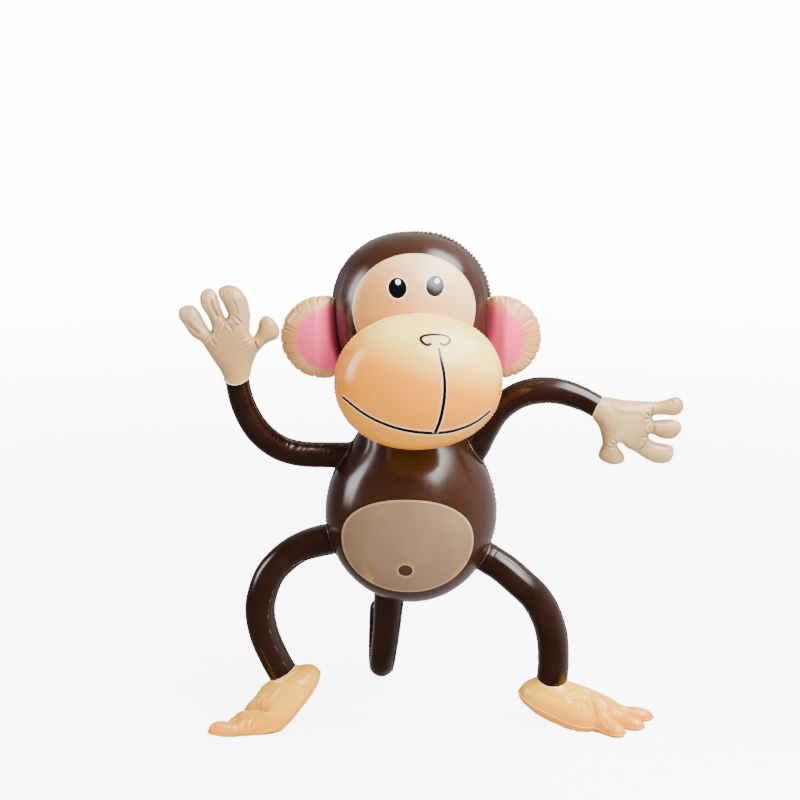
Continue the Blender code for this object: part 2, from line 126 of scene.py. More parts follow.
def shell(points, quads=(), tris=(), **marks):
    # one closed skin: its points, its faces and a number per point for each mark
    quads, tris = np.reshape(quads, (-1, 4)).astype(int), np.reshape(tris, (-1, 3)).astype(int)
    halves = np.vstack([quads[:, [0, 1, 2]], quads[:, [0, 2, 3]], tris])
    a, b, c = (points[halves[:, k]] for k in range(3))
    if np.einsum("ij,ij->", a, np.cross(b, c)) < 0:  # inside out, so every face is turned round
        quads, tris = quads[:, ::-1], tris[:, ::-1]
    return {"points": points, "quads": quads, "tris": tris, "marks": marks}


def gridShell(points, wrapRows=False, **marks):
    # rings of points joined row to row; unless the rows wrap, each end is closed with one more point
    rows, cols = points.shape[:2]
    number = np.arange(rows * cols).reshape(rows, cols)
    upper, lower = (number, np.roll(number, -1, axis=0)) if wrapRows else (number[:-1], number[1:])
    quads = joined(upper, lower, np.roll(lower, -1, axis=1), np.roll(upper, -1, axis=1))
    flat, tris = points.reshape(-1, 3), ()
    marks = {key: np.broadcast_to(value, (rows, cols)).ravel() for key, value in marks.items()}
    if not wrapRows:
        ends = number[[0, -1]]
        fans = joined(rows * cols + np.array([[0], [1]]), ends, np.roll(ends, -1, axis=1))
        tris = np.vstack([fans[0], fans[1][:, ::-1]])
        flat = np.vstack([flat, points[[0, -1]].mean(axis=1)])
        marks = {key: np.r_[value, value[ends].mean(axis=1)] for key, value in marks.items()}
    return shell(flat, quads, tris, **marks)


def makePiece(name, skins, material):
    # all skins of a piece in one mesh, riding on the body and standing for the CAD node of its name
    starts = np.cumsum([0] + [len(skin["points"]) for skin in skins])
    points = np.vstack([skin["points"] for skin in skins])
    quads, tris = (np.vstack([skin[kind] + start for skin, start in zip(skins, starts)]) for kind in ("quads", "tris"))
    mesh = bpy.data.meshes.new(name)
    mesh.vertices.add(len(points))
    mesh.vertices.foreach_set("co", points.astype(np.float32).ravel())
    mesh.loops.add(quads.size + tris.size)
    mesh.loops.foreach_set("vertex_index", np.r_[quads.ravel(), tris.ravel()].astype(np.int32))
    mesh.polygons.add(len(quads) + len(tris))
    loopStart = np.r_[np.arange(len(quads)) * 4, quads.size + np.arange(len(tris)) * 3]
    mesh.polygons.foreach_set("loop_start", loopStart.astype(np.int32))
    mesh.update(calc_edges=True)
    mesh.validate()
    mesh.shade_smooth()
    for key in sorted({key for skin in skins for key in skin["marks"]}):
        values = [skin["marks"].get(key, np.zeros(len(skin["points"]))) for skin in skins]
        mesh.attributes.new(key, "FLOAT", "POINT").data.foreach_set("value", np.concatenate(values).astype(np.float32))
    mesh.materials.append(material)
    piece = bpy.data.objects.new(name, mesh)
    bpy.context.scene.collection.objects.link(piece)
    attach(piece, "root")
    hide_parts(name[:-5])
    print(name, len(quads) * 2 + len(tris), "triangles")


filmPalette = {
    "brown": "#2f180c", "brownLight": "#351b0e", "brownWeld": "#8f8280", "limb": "#1d0e07", "limbLight": "#26120a",
    "face": "#d8924c", "facePaintedLight": "#ffd9a4", "printEdge": "#ffe2b8", "ink": "#060506", "glint": "#ffffff",
    "muzzleTop": "#ffe070", "muzzleLow": "#f39412", "muzzleChin": "#f8a01c",
    "belly": "#80654c", "bellyEdge": "#ab8a68", "navel": "#3b2d22", "navelRing": "#22160e",
    "earRim": "#cf9050", "earPink": "#f2567e", "earFoldShade": "#4a1a1c", "earSkin": "#ecb274",
    "hand": "#b8905c", "handLight": "#cfae78", "handWeld": "#ead2a4", "handCreaseShade": "#7a5a34",
    "foot": "#fcb62c", "footUnderShade": "#f99a10", "footWeld": "#ffe0a0", "footCreaseShade": "#c8741c",
    "paper": "#ededed", "leftLight": "#fcf8ff",
}


def linearColour(name):
    # sRGB hex to linear red, green, blue and alpha
    text = filmPalette[name].lstrip("#")
    srgb = [int(text[k:k + 2], 16) / 255 for k in (0, 2, 4)]
    return [c / 12.92 if c <= 0.04045 else ((c + 0.055) / 1.055) ** 2.4 for c in srgb] + [1.0]


def addNode(tree, kind, inputs=None, **settings):
    # one node with its settings; an input is a value or another node's output
    item = tree.nodes.new("ShaderNode" + kind)
    for key, value in settings.items():
        setattr(item, key, value)
    for key, value in (inputs or {}).items():
        if isinstance(value, bpy.types.NodeSocket):
            tree.links.new(value, item.inputs[key])
        else:
            item.inputs[key].default_value = value
    return item


def laidColours(tree, place, smudge, base, rows):
    # colours laid one over another. A row is a colour, or a base with rows of its own, then what its share
    # follows (a mark, the smudges or a direction), then where that starts and ends easing in, and its most
    colour = linearColour(base)
    for above, follows, *ease in rows:
        above = linearColour(above) if isinstance(above, str) else laidColours(tree, place, smudge, *above)
        if follows == "smudge":
            share = smudge
        elif isinstance(follows, tuple):
            share = addNode(tree, "VectorMath", {0: place, 1: follows}, operation="DOT_PRODUCT").outputs["Value"]
        else:
            share = addNode(tree, "Attribute", attribute_name=follows).outputs["Fac"]
            if follows.endswith("Line"):  # a printed line: the larger of the distance beside it and past its end
                beside = addNode(tree, "Math", {0: share}, operation="ABSOLUTE").outputs[0]
                past = addNode(tree, "Attribute", attribute_name=follows + "End").outputs["Fac"]
                share = addNode(tree, "Math", {0: beside, 1: past}, operation="MAXIMUM").outputs[0]
        if ease:
            low, high, most = (*ease, 1.0)[:3]
            share = addNode(tree, "MapRange", {0: share, 1: low, 2: high, 3: 0.0, 4: most},
                            interpolation_type="SMOOTHSTEP").outputs[0]
        colour = addNode(tree, "Mix", {0: share, 6: colour, 7: above}, data_type="RGBA").outputs[2]
    return colour


# Calendered PVC film, 0.25 mm: mirror-like but slightly uneven, so highlights have soft, wavering edges. Welds
# and the crumpled film beside the ears are duller
filmFinish = {
    "IOR": 1.5, "Coat Weight": 0.12, "Coat Roughness": 0.08, "roughness": (0.15, 0.24),
    "noise": ((45 * mm, 4.0, 0.55), (22 * mm, 2.0, 0.5), (1.6 * mm, 2.0, 0.5)),  # smudges, waves and grain: size,
    "lift": (4 * mm, 0.5 * mm), "grainShare": 0.008,                             # detail and roughness; heights
    "smudgeEase": (0.35, 0.65), "dull": {"weld": 0.16, "crumpled": 0.34},
}


def vinylFilm(name, base, rows, wave=0.03):
    # noise of three sizes: smudges set the roughness and tint the colours, waves and grain lift the surface
    material = bpy.data.materials.new(name)
    material.use_nodes = True
    tree = material.node_tree
    shader = tree.nodes["Principled BSDF"].inputs
    place = addNode(tree, "TexCoord").outputs["Object"]
    smudge, waves, grain = (addNode(tree, "TexNoise", {"Vector": place, "Scale": 1 / size, "Detail": detail,
                                                       "Roughness": rough}).outputs[0]
                            for size, detail, rough in filmFinish["noise"])
    ease = (smudge, *filmFinish["smudgeEase"], *filmFinish["roughness"])
    rough = addNode(tree, "MapRange", dict(enumerate(ease)),
                    interpolation_type="SMOOTHSTEP").outputs[0]
    for key, more in filmFinish["dull"].items():
        share = addNode(tree, "Attribute", attribute_name=key).outputs["Fac"]
        rough = addNode(tree, "Math", {0: share, 1: more, 2: rough}, operation="MULTIPLY_ADD").outputs[0]
    tall, fine = filmFinish["lift"]
    lifted = addNode(tree, "Bump", {"Height": waves, "Strength": wave, "Distance": tall}).outputs[0]
    lifted = addNode(tree, "Bump", {"Height": grain, "Strength": filmFinish["grainShare"], "Distance": fine,
                                    "Normal": lifted}).outputs[0]
    colour = laidColours(tree, place, smudge, base, rows)
    for key, value in (("Base Color", colour), ("Roughness", rough), ("Normal", lifted)):
        tree.links.new(value, shader[key])
    for key in ("IOR", "Coat Weight", "Coat Roughness"):
        shader[key].default_value = filmFinish[key]
    print("material:", name)
    return material


def sweep(path, across, outward, profile):
    # a small closed profile, given as (across, outward) pairs, carried along the path
    return path[:, None] + across[:, None] * profile[..., :1] + outward[:, None] * profile[..., 1:]


def weldStrip(path, across, outward, width, closed=True, thickness=0.5 * mm, pitch=5 * mm, scallop=0.35,
              waviness=0.5 * mm, seed=1, shade=1.0, **marks):
    # the flat fin of film outside a weld, a thin wedge: its reach is scalloped by a rooted sine of the length
    # along it, and a slower sine sways it from side to side. An open one tapers off at its ends
    run = runLength(path)
    turns = run / pitch + 0.5 * wobble(run / (4.3 * pitch), seed)
    tooth = np.abs(np.sin(pi * turns)) ** 0.6
    reach = width * (1 - scallop + scallop * tooth) * (1 + 0.18 * wobble(run / (2.1 * pitch), seed + 1))
    sway = waviness * np.sin(2 * pi * turns + 1.0) * (0.6 + 0.4 * wobble(run / (3 * pitch), seed + 2))
    if not closed:
        ends = smoothStep(np.minimum(run, run[-1] - run), 0, 3 * width)
        reach, sway = reach * ends + 0.1 * mm, sway * ends
    half, inner = thickness / 2, -1.2 * mm  # the wedge starts inside the balloon
    profile = joined(joined(half, sway + half, sway, sway - half, -half),
                     joined(inner, reach * 0.92, reach, reach * 0.92, inner))
    return gridShell(sweep(path, across, outward, profile), closed,
                     weld=np.array([0.0, 0.55, 1, 0.55, 0.0]) * shade, **marks)


def weldBead(path, across, outward, radius, shade=1.0):
    # a round bead along a closed line, such as the ring where a limb is welded on
    angle = fullTurn(8)
    profile = joined(np.cos(angle), np.sin(angle))[None] * radius
    return gridShell(sweep(path, across, outward, profile), True, weld=shade)


# belly, neck and head: one long balloon
axisX, axisY = (np.array(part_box("body_and_head")).sum(axis=0) / 2)[:2]
body = {
    "bellyCentre": 0.287, "bellyWide": 0.1105, "bellyTall": 0.118,
    "headCentre": 0.5505, "headWide": 0.101, "headTall": 0.1025, "headRoundness": 2.2,
    "neckWide": 0.066, "depthShare": 0.92, "rows": 300, "columns": 276, "puckerDepth": 0.5 * mm,
    "puckerPitch": 9 * mm, "puckerReach": 7 * mm, "puckerWander": 30 * mm,
    # fin at the side seams, with its shares of that (left, right) below and above the waist
    "seamFin": 2.2 * mm, "finShares": ((0.45, 0.9), (0.4, 1.7)), "seamPitch": 5.4 * mm,
    "dentDepth": 1.3 * mm, "dentReach": 8 * mm, "dentFolds": 11, "dentFoldShare": 0.35,
    "earDent": 1.6 * mm, "earFold": 0.9 * mm, "earFoldAt": 11 * mm, "earFoldWide": 2.6 * mm, "earHalfDepth": 13 * mm,
    "crumpleFrom": 6 * mm, "crumpleWide": 12 * mm,
}
# prints as centre x and z, half width, half height above and below, and roundness
prints = {
    "facePrint": (-22.2, 565.6, 75.9, 67.5, 74.3, 2.0),
    "rightEye": (-42.75, 594.3, 11.3, 12.4, 12.2, 2.0), "rightEyeDot": (-42.1, 601.6, 3.3, 3.4, 3.5, 2.0),
    "leftEye": (3.4, 596.4, 11.1, 12.2, 12.3, 2.0), "leftEyeDot": (5.9, 602.2, 3.3, 3.4, 3.5, 2.0),
    "bellyPrint": (-30.3, 270.0, 83.9, 58.4, 70.2, 2.15),
    "navelPrint": (-32.7, 235.0, 8.8, 8.0, 8.0, 2.0),
}
offPrint = 0.1  # the distance that marks film with no print on it
brownFilm = vinylFilm("glossy brown PVC film", "brown", [("brownLight", "smudge", 0.3, 0.7), ("brownWeld", "weld")])
# the face is painted paler towards its upper left, seen from the toy, as a painted wash of light; the belly's ring is a
# darker print
bodyFilm = vinylFilm("glossy brown PVC film with face and belly print", "brown", [
    ("brownLight", "smudge", 0.3, 0.7), ("brownWeld", "weld"),
    ("printEdge", "facePrint", 1.0 * mm, 0.65 * mm, 0.6),
    (("face", [("facePaintedLight", (0.55, 0.0, 0.83), 0.440, 0.545), ("face", "smudge", 0.4, 0.8, 0.12)]),
     "facePrint", 0.0, -1.6 * mm),
    *((colour, eye, low * mm, high * mm) for name in ("rightEye", "leftEye") for colour, eye, low, high in
      (("printEdge", name, 2.1, 1.2), ("ink", name, 0.35, -0.35), ("glint", name + "Dot", 0.5, -0.6))),
    ("navelRing", "bellyPrint", 2.4 * mm, 1.6 * mm, 0.75), ("bellyEdge", "bellyPrint", 0.35 * mm, -0.35 * mm),
    (("belly", [("bellyEdge", "smudge", 0.4, 0.9, 0.3)]), "bellyPrint", -1.2 * mm, -3.2 * mm),
    ("bellyEdge", "navelPrint", 4.5 * mm, 1.2 * mm, 0.6), ("navelRing", "navelPrint", 0.35 * mm, -0.35 * mm),
    ("navel", "navelPrint", -0.8 * mm, -2.0 * mm)])


def bodyHalfWidth(z):
    # belly ellipse, fading neck and rounded head ellipse, blended as a fifth-power mean
    belly = body["bellyWide"] * np.sqrt(np.clip(1 - ((z - body["bellyCentre"]) / body["bellyTall"]) ** 2, 0, None))
    share = np.clip(1 - np.abs((z - body["headCentre"]) / body["headTall"]) ** body["headRoundness"], 0, None)
    head = body["headWide"] * share ** (1 / body["headRoundness"])
    middle, reach = (body["headCentre"] + body["bellyCentre"]) / 2, (body["headCentre"] - body["bellyCentre"]) / 2
    neck = body["neckWide"] * np.clip(1 - ((z - middle) / reach) ** 4, 0, None)
    return (belly ** 5 + neck ** 5 + head ** 5) ** 0.2


def outsideBody(points):
    # how far a point is outside the body's skin, measured level with the floor
    x, y = points[..., 0] - axisX, (points[..., 1] - axisY) / body["depthShare"]
    return np.hypot(x, y) - bodyHalfWidth(points[..., 2])


def printEdge(x, z, centreX, centreZ, wide, up, down, roundness):
    # distance outside an oval print: its power mean less one, over the slope of that mean
    dx, dz = np.abs(x - centreX * mm) / (wide * mm), z - centreZ * mm
    tall = np.where(dz > 0, up, down) * mm
    dz = np.abs(dz) / tall
    mean = np.maximum((dx ** roundness + dz ** roundness) ** (1 / roundness), 1e-6)
    slope = np.hypot((dx / mean) ** (roundness - 1) / (wide * mm), (dz / mean) ** (roundness - 1) / tall)
    return (mean - 1) / slope


def makeBody(limbRoots):
    # the half width turned round the axis, with rows at equal steps of the cosine of their height; small lifts
    # along its normal are added as sines (puckers, folds) times bell curves (of the distance from a weld)
    middle = (body["bellyCentre"] - body["bellyTall"] + body["headCentre"] + body["headTall"]) / 2
    half = body["headCentre"] + body["headTall"] - middle
    z = middle + half * np.cos((np.arange(body["rows"]) + 0.5) / body["rows"] * pi)
    wide = bodyHalfWidth(z)
    angle = fullTurn(body["columns"])
    points = joined(axisX + wide[:, None] * np.cos(angle), axisY + wide[:, None] * body["depthShare"] * np.sin(angle),
                    z[:, None])
    normal = unit(joined(np.cos(angle), np.sin(angle) / body["depthShare"], -np.gradient(wide, z)[:, None]))
    # puckers run square to the side seams and fade within a centimetre of them
    run = runLength(joined(wide, z))
    fromSeam = np.abs(points[..., 1] - axisY)
    fold = np.sin(2 * pi * run / body["puckerPitch"] + 2.5 * wobble(run / body["puckerWander"], 3))[:, None]
    lift = body["puckerDepth"] * fold * np.exp(-fromSeam / body["puckerReach"]) * smoothStep(fromSeam, 0, 1 * mm)
    # where a limb is welded on, the film is drawn in and gathered into small folds around it
    for root, direction, radius in limbRoots:
        along = (points - root) @ direction
        ring = points - root - along[..., None] * direction
        distance = np.linalg.norm(ring, axis=-1)
        side = unit(np.cross(direction, [0.31, 0.83, 0.46]))  # any direction that no limb has
        around = np.arctan2(ring @ side, ring @ np.cross(direction, side))
        near = (np.abs(along) < 50 * mm) * bump(np.maximum(distance - radius, 0), body["dentReach"])
        folds = np.sin(body["dentFolds"] * around + 2 * np.sin(2 * around))
        folds = body["dentFoldShare"] * folds * smoothStep(distance, radius, radius + 3 * mm)
        lift = lift - near * body["dentDepth"] * (1 - folds)
    # beside each ear the film dips to its weld, and one soft fold runs round in front of that
    fromEar = body["earHalfDepth"] * (np.hypot(
        (points[..., 1] - axisY + ear["forward"]) / body["earHalfDepth"],
        (points[..., 2] - body["headCentre"] + ear["drop"]) / (ear["outer"] + 2 * mm)) - 1)
    beside = smoothStep(np.abs(points[..., 0] - axisX), 55 * mm, 80 * mm) * (points[..., 1] < axisY + 30 * mm)
    lift = lift + beside * (body["earFold"] * bump(fromEar - body["earFoldAt"], body["earFoldWide"])
                            - body["earDent"] * bump(np.maximum(fromEar, 0), 5 * mm))
    points = points + normal * lift[..., None]
    marks = {key: np.where(points[..., 1] < axisY, printEdge(points[..., 0], points[..., 2], *oval), offPrint)
             for key, oval in prints.items()}
    crumpled = beside * bump(np.maximum(fromEar - body["crumpleFrom"], 0), body["crumpleWide"])
    skin = gridShell(points, crumpled=crumpled, **marks)
    # the weld fin runs over the crown, down both sides and under the seat
    fine = middle + half * np.cos(np.linspace(0.004, pi - 0.004, 900))
    side = joined(axisX + bodyHalfWidth(fine), axisY, fine)
    loop = np.vstack([side, side[::-1] * [-1, 1, 1] + [2 * axisX, 0, 0]])
    loop = softened(denseCurve(loop[::6], 0.8 * mm, closed=True), 6, closed=True)
    across = np.broadcast_to([0.0, 1.0, 0.0], loop.shape)
    toRight, upward = smoothStep(loop[:, 0] - axisX, -20 * mm, 50 * mm), smoothStep(loop[:, 2], 0.42, 0.58)
    below, above = (left + (right - left) * toRight for left, right in body["finShares"])
    fin = weldStrip(loop, across, outwardOf(loop, across), body["seamFin"] * (below * (1 - upward) + above * upward),
                    pitch=body["seamPitch"], seed=11, shade=1.7, waviness=0.6 * mm, scallop=0.8,
                    **dict.fromkeys(prints, offPrint))
    makePiece("body_and_head_film", [skin, fin], bodyFilm)


muzzleLow, muzzleHigh = np.array(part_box("muzzle"))
muzzle = {
    "centre": np.array([(muzzleLow[0] + muzzleHigh[0]) / 2, muzzleLow[1] + 73 * mm,
                        (muzzleLow[2] + muzzleHigh[2]) / 2 - 1.2 * mm]),
    "wide": 0.102, "deep": 0.073, "tall": 0.0838, "roundness": 2.12, "roll": math.radians(2.5),
    "rows": 110, "columns": 420, "finWidth": 1.7 * mm, "finPitch": 4.4 * mm, "pucker": 0.5 * mm,
    "puckerReach": 5 * mm, "puckerFrontShare": 0.45,
    # lines of the print: x and z on the muzzle's front in millimetres, half widths at the start and the end as
    # shares of lineWide, and the width of the pale edge
    "lineWide": 1.0 * mm,
    "lines": {
        "mouthLine": ([-109.8, 470.6, -100.1, 464.8, -86.7, 456.2, -74.6, 449.8, -61.8, 444.3,
                      -45.7, 438.7, -27.6, 434.5, -9.6, 432, 2.5, 431.3, 20.6, 432.2, 38.9, 436.4,
                      54.8, 442.8, 70.3, 453], 1.9, 2.6, 1.9),
        "lipLine": ([6.5, 535.4, 8.6, 525.5, 11.5, 513, 13.4, 499.6, 13.5, 481, 11.1, 462.3,
                    7.7, 446.6, 2.5, 431.3], 1.7, 2.2, 1.2),
        "noseLine": ([-2.1, 540.2, -6.3, 538.9, -10.4, 539.9, -14, 542.7, -15.2, 545.4, -13.4, 547.6,
                     -8.6, 548.9, -1.4, 549.5, 5.8, 549.3, 13.1, 548.2, 17.9, 546.4, 20.2, 543.7,
                     19, 540.6, 15.3, 538.7, 11.1, 538.6, 7.5, 540.7], 2.0, 1.6, 0.8)},
    "toneSide": (0.32, 0.0, 1.0),
}
# cream over the nose to tan at the mouth: partly the print's airbrushed tone, partly painted light and shade, paler on
# top and darker low down towards the toy's right; the nose and mouth lines are in ink
toneMiddle = muzzle["centre"][2] + muzzle["toneSide"][0] * muzzle["centre"][0]
muzzleFilm = vinylFilm("glossy peach PVC film with mouth print", "muzzleTop", [
    ("muzzleLow", muzzle["toneSide"], toneMiddle + 70 * mm, toneMiddle + 8 * mm),
    ("muzzleChin", "chin", -1 * mm, 1 * mm),
    *((colour, line, muzzle["lineWide"] + more * mm, muzzle["lineWide"] + less * mm, most)
      for line, (_, _, _, halo) in muzzle["lines"].items()
      for colour, more, less, most in (("printEdge", halo, 0, 0.7), ("ink", 0.2, -0.2, 1.0))),
    ("printEdge", "weld", 0.0, 1.0, 0.6)])


def onMuzzle(x, z):
    # depth of the muzzle's front at x and z: what is left of one after the outline's share, rooted
    roll, n = muzzle["roll"], muzzle["roundness"]
    dx, dz = x - muzzle["centre"][0], z - muzzle["centre"][2]
    u, v = dx * math.cos(roll) + dz * math.sin(roll), dz * math.cos(roll) - dx * math.sin(roll)
    share = ((np.abs(u) / muzzle["wide"]) ** n + (np.abs(v) / muzzle["tall"]) ** n) ** (2 / n)
    return muzzle["centre"][1] - muzzle["deep"] * np.sqrt(np.clip(1 - share, 0, None))


def lineDistance(points, line):
    # shortest distance from each point to a line of short straight runs, where along it that is, on which
    # side (by x and the last coordinate) and how far the point lies beyond the line's ends
    best, where, side, beyond = (np.full(len(points), value) for value in (1.0, 0.0, 1.0, 0.0))
    length = runLength(line)
    for k in range(len(line) - 1):
        step = line[k + 1] - line[k]
        size = np.linalg.norm(step)
        along = ((points - line[k]) @ step) / size
        share = np.clip(along / size, 0, 1)
        gap = np.linalg.norm(points - line[k] - share[:, None] * step, axis=1)
        near = gap < best
        turn = step[0] * (points[:, -1] - line[k][-1]) - step[-1] * (points[:, 0] - line[k][0])
        past = np.maximum(-along if k == 0 else 0.0, along - size if k == len(line) - 2 else 0.0)
        best[near], where[near] = gap[near], (length[k] + share[near] * size) / length[-1]
        side[near] = np.where(turn[near] >= 0, 1.0, -1.0)
        beyond[near] = np.maximum(past * np.ones(len(points)), 0)[near]
    return best, where, side, beyond


def makeMuzzle():
    # a rounded ellipse for the outline; each row is it times the sine of the row's angle, and its depth is the
    # cosine. Folds are sines along the weld that fade away from it
    n, roll, centre = muzzle["roundness"], muzzle["roll"], muzzle["centre"]
    around = fullTurn(muzzle["columns"])
    back = ((np.arange(muzzle["rows"]) + 0.35) / muzzle["rows"] * pi)[:, None]
    reach = (np.abs(np.cos(around) / muzzle["wide"]) ** n + np.abs(np.sin(around) / muzzle["tall"]) ** n) ** (-1 / n)
    u, v = reach * np.cos(around), reach * np.sin(around)
    ring = joined(u * math.cos(roll) - v * math.sin(roll), 0.0, v * math.cos(roll) + u * math.sin(roll))
    points = centre + np.sin(back)[..., None] * ring
    points[..., 1] -= muzzle["deep"] * np.cos(back)
    run = runLength(ring)
    fold = np.sin(2 * pi * run / (2 * muzzle["finPitch"]) + 2 * wobble(run / (20 * mm), 5))
    fromSeam = np.abs(back - pi / 2) * muzzle["deep"]
    lift = muzzle["pucker"] * np.where(back > pi / 2, 1.0, muzzle["puckerFrontShare"]) * fold \
        * np.exp(-fromSeam / muzzle["puckerReach"]) * smoothStep(fromSeam, 0, 0.8 * mm)
    points = points + unit(points - centre) * lift[..., None]
    flat = points.reshape(-1, 3)
    front = flat[:, 1] < centre[1] + 5 * mm
    marks = {}
    for key, (line, first, last, _) in muzzle["lines"].items():
        x, z = denseCurve(inRows(line), 2 * mm).T
        distance, where, side, beyond = lineDistance(flat[front], joined(x, onMuzzle(x, z), z))
        marks[key], marks[key + "End"] = np.full((2, len(flat)), offPrint)
        marks[key][front] = side * distance / (first + (last - first) * smoothStep(where, 0.0, 0.7))
        marks[key + "End"][front] = 4 * beyond
    mouthX, mouthZ = inRows(muzzle["lines"]["mouthLine"][0]).T
    marks["chin"] = np.interp(flat[:, 0], mouthX, mouthZ) - flat[:, 2]
    skin = gridShell(points, **{key: value.reshape(points.shape[:2]) for key, value in marks.items()})
    loop = softened(denseCurve(centre + ring[::5], 0.75 * mm, closed=True), 3, closed=True)
    fin = weldStrip(loop, np.broadcast_to([0.0, 1.0, 0.0], loop.shape), unit(loop - centre), muzzle["finWidth"],
                    pitch=muzzle["finPitch"], seed=21, shade=0.6, waviness=0.3 * mm, scallop=0.6,
                    **{**dict.fromkeys(marks, offPrint), "chin": -10 * mm})
    makePiece("muzzle_film", [skin, fin], muzzleFilm)


ear = {
    "outer": 0.0525, "inner": 0.024, "innerSquare": 3.2, "thick": 0.027, "proud": 0.011, "drop": 0.0295,
    "forward": 0.015, "rows": 90, "columns": 620, "pleats": 31, "pleatDepth": 3.4 * mm, "pleatReach": 9 * mm,
    "notch": 1.9 * mm, "pleatWide": 1.45 * mm, "shadeReach": (-2 * mm, 20 * mm), "fin": 1.2 * mm,
    "pinch": (-13 * mm, 10 * mm), "pinchShare": 0.42, "pinkWide": 0.033, "pinkTall": 0.042, "pinkBack": 0.012,
    "pinkEdge": (0.88, 1.10), "pleatJitter": 0.32, "ridgeShare": 0.35, "ridgePitch": 8.2 * mm, "ridgeReach": 6 * mm,
    "weldWide": 0.8 * mm, "weldShade": 0.5,
}
# peach rim, airbrushed pink in the middle, and painted shade in the fold beside the head
earFilm = vinylFilm("glossy peach PVC film with pink print", "earRim", [
    ("earSkin", "smudge", 0.35, 0.75), ("earPink", "pinkPrint"), ("earFoldShade", "inward", 0.1, 1.0, 0.9),
    ("printEdge", "weld", 0.0, 1.0, 0.75)])


def makeEar(name, side, seed):
    # a disc whose outline is round outside and a rounded rectangle inside: each row is it times the sine of the
    # row's angle, its depth the cosine, pinched beside the head. Pleats are bell curves cut in from the weld
    around = fullTurn(ear["columns"])
    back = ((np.arange(ear["rows"]) + 0.35) / ear["rows"] * pi)[:, None]
    centre = np.array([axisX + side * (body["headWide"] + ear["proud"]), axisY - ear["forward"],
                       body["headCentre"] - ear["drop"]])
    c, v, n, rho = np.cos(around), np.sin(around), ear["innerSquare"], np.sin(back)
    square = (np.abs(c / ear["inner"]) ** n + np.abs(v / ear["outer"]) ** n) ** (-1 / n)
    reach = np.where(c > 0, ear["outer"], square)
    # pleats: sharp valleys at uneven spacing, each with a notch in the edge
    spots = np.random.default_rng(seed)
    turns = (np.arange(ear["pleats"]) + ear["pleatJitter"] * spots.uniform(-1, 1, ear["pleats"])) / ear["pleats"]
    deep = spots.uniform(0.25, 1.0, ear["pleats"]) ** 1.3
    long = spots.uniform(0.55, 1.15, ear["pleats"]) * ear["pleatReach"]
    gap = (around[:, None] - turns * 2 * pi + pi) % (2 * pi) - pi
    valley = bump(gap * ear["outer"], ear["pleatWide"]) * deep * smoothStep(c, -0.35, 0.1)[:, None]
    edge = reach - valley.sum(axis=1) * ear["notch"]
    x, z, fromRim = rho * c * reach, rho * v * reach, (1 - rho) * ear["outer"]
    fold = smoothStep(long - fromRim, 0, long) @ valley.T
    run = around * ear["outer"]
    ridge = np.sin(2 * pi * run / ear["ridgePitch"] + 2 * wobble(run / (18 * mm), seed + 2))
    ridge = ear["ridgeShare"] * ridge * bump(fromRim, ear["ridgeReach"])
    pinch = ear["pinchShare"] + (1 - ear["pinchShare"]) * smoothStep(x, *ear["pinch"])
    depth = ear["thick"] * np.abs(np.cos(back)) * pinch
    puffed = depth - ear["pleatDepth"] * (fold - ridge * 0.4) * smoothStep(depth, 0, 4 * mm)
    facing = np.sign(np.cos(back))
    points = joined(centre[0] + side * rho * c * edge, centre[1] - facing * np.maximum(puffed, 0.05 * mm),
                    centre[2] + rho * v * edge)
    oval = np.hypot((x + ear["pinkBack"]) / (ear["pinkWide"] + ear["pinkBack"]), z / ear["pinkTall"])
    # painted shade: the film is coloured darker where the ear runs into the fold beside the head
    skin = gridShell(points, weld=bump(fromRim, ear["weldWide"]) * ear["weldShade"],
                     pinkPrint=(1 - smoothStep(oval, *ear["pinkEdge"])) * (facing > 0),
                     inward=1 - smoothStep(outsideBody(points), *ear["shadeReach"]))
    loop = softened(joined(centre[0] + side * c * edge, centre[1], centre[2] + v * edge), 1, closed=True)
    fin = weldStrip(loop, np.broadcast_to([0.0, 1.0, 0.0], loop.shape), unit(loop - centre), ear["fin"],
                    pitch=5.4 * mm, seed=seed + 4)
    makePiece(name + "_film", [skin, fin], earFilm)


armRadius, legRadius = 16.5 * mm, 19.5 * mm
tube = {
    "sides": 72, "step": 1.25 * mm, "rippleDepth": 1.0 * mm, "ripplePitch": 7.5 * mm, "fin": 1.1 * mm,
    "collar": 0.8 * mm, "collarFolds": 9, "flange": 2.6 * mm, "flangeLift": 0.1 * mm, "dash": 0.55,
    "dashPitch": 6.5 * mm, "weldShade": 0.12, "bendGain": 0.11, "bendMost": 1.2, "crimpDepth": 0.22 * mm,
    "crimpPitch": 5.5 * mm, "crimpReach": 3 * mm, "flareWide": 3.2 * mm, "rootBead": 0.75 * mm,
}
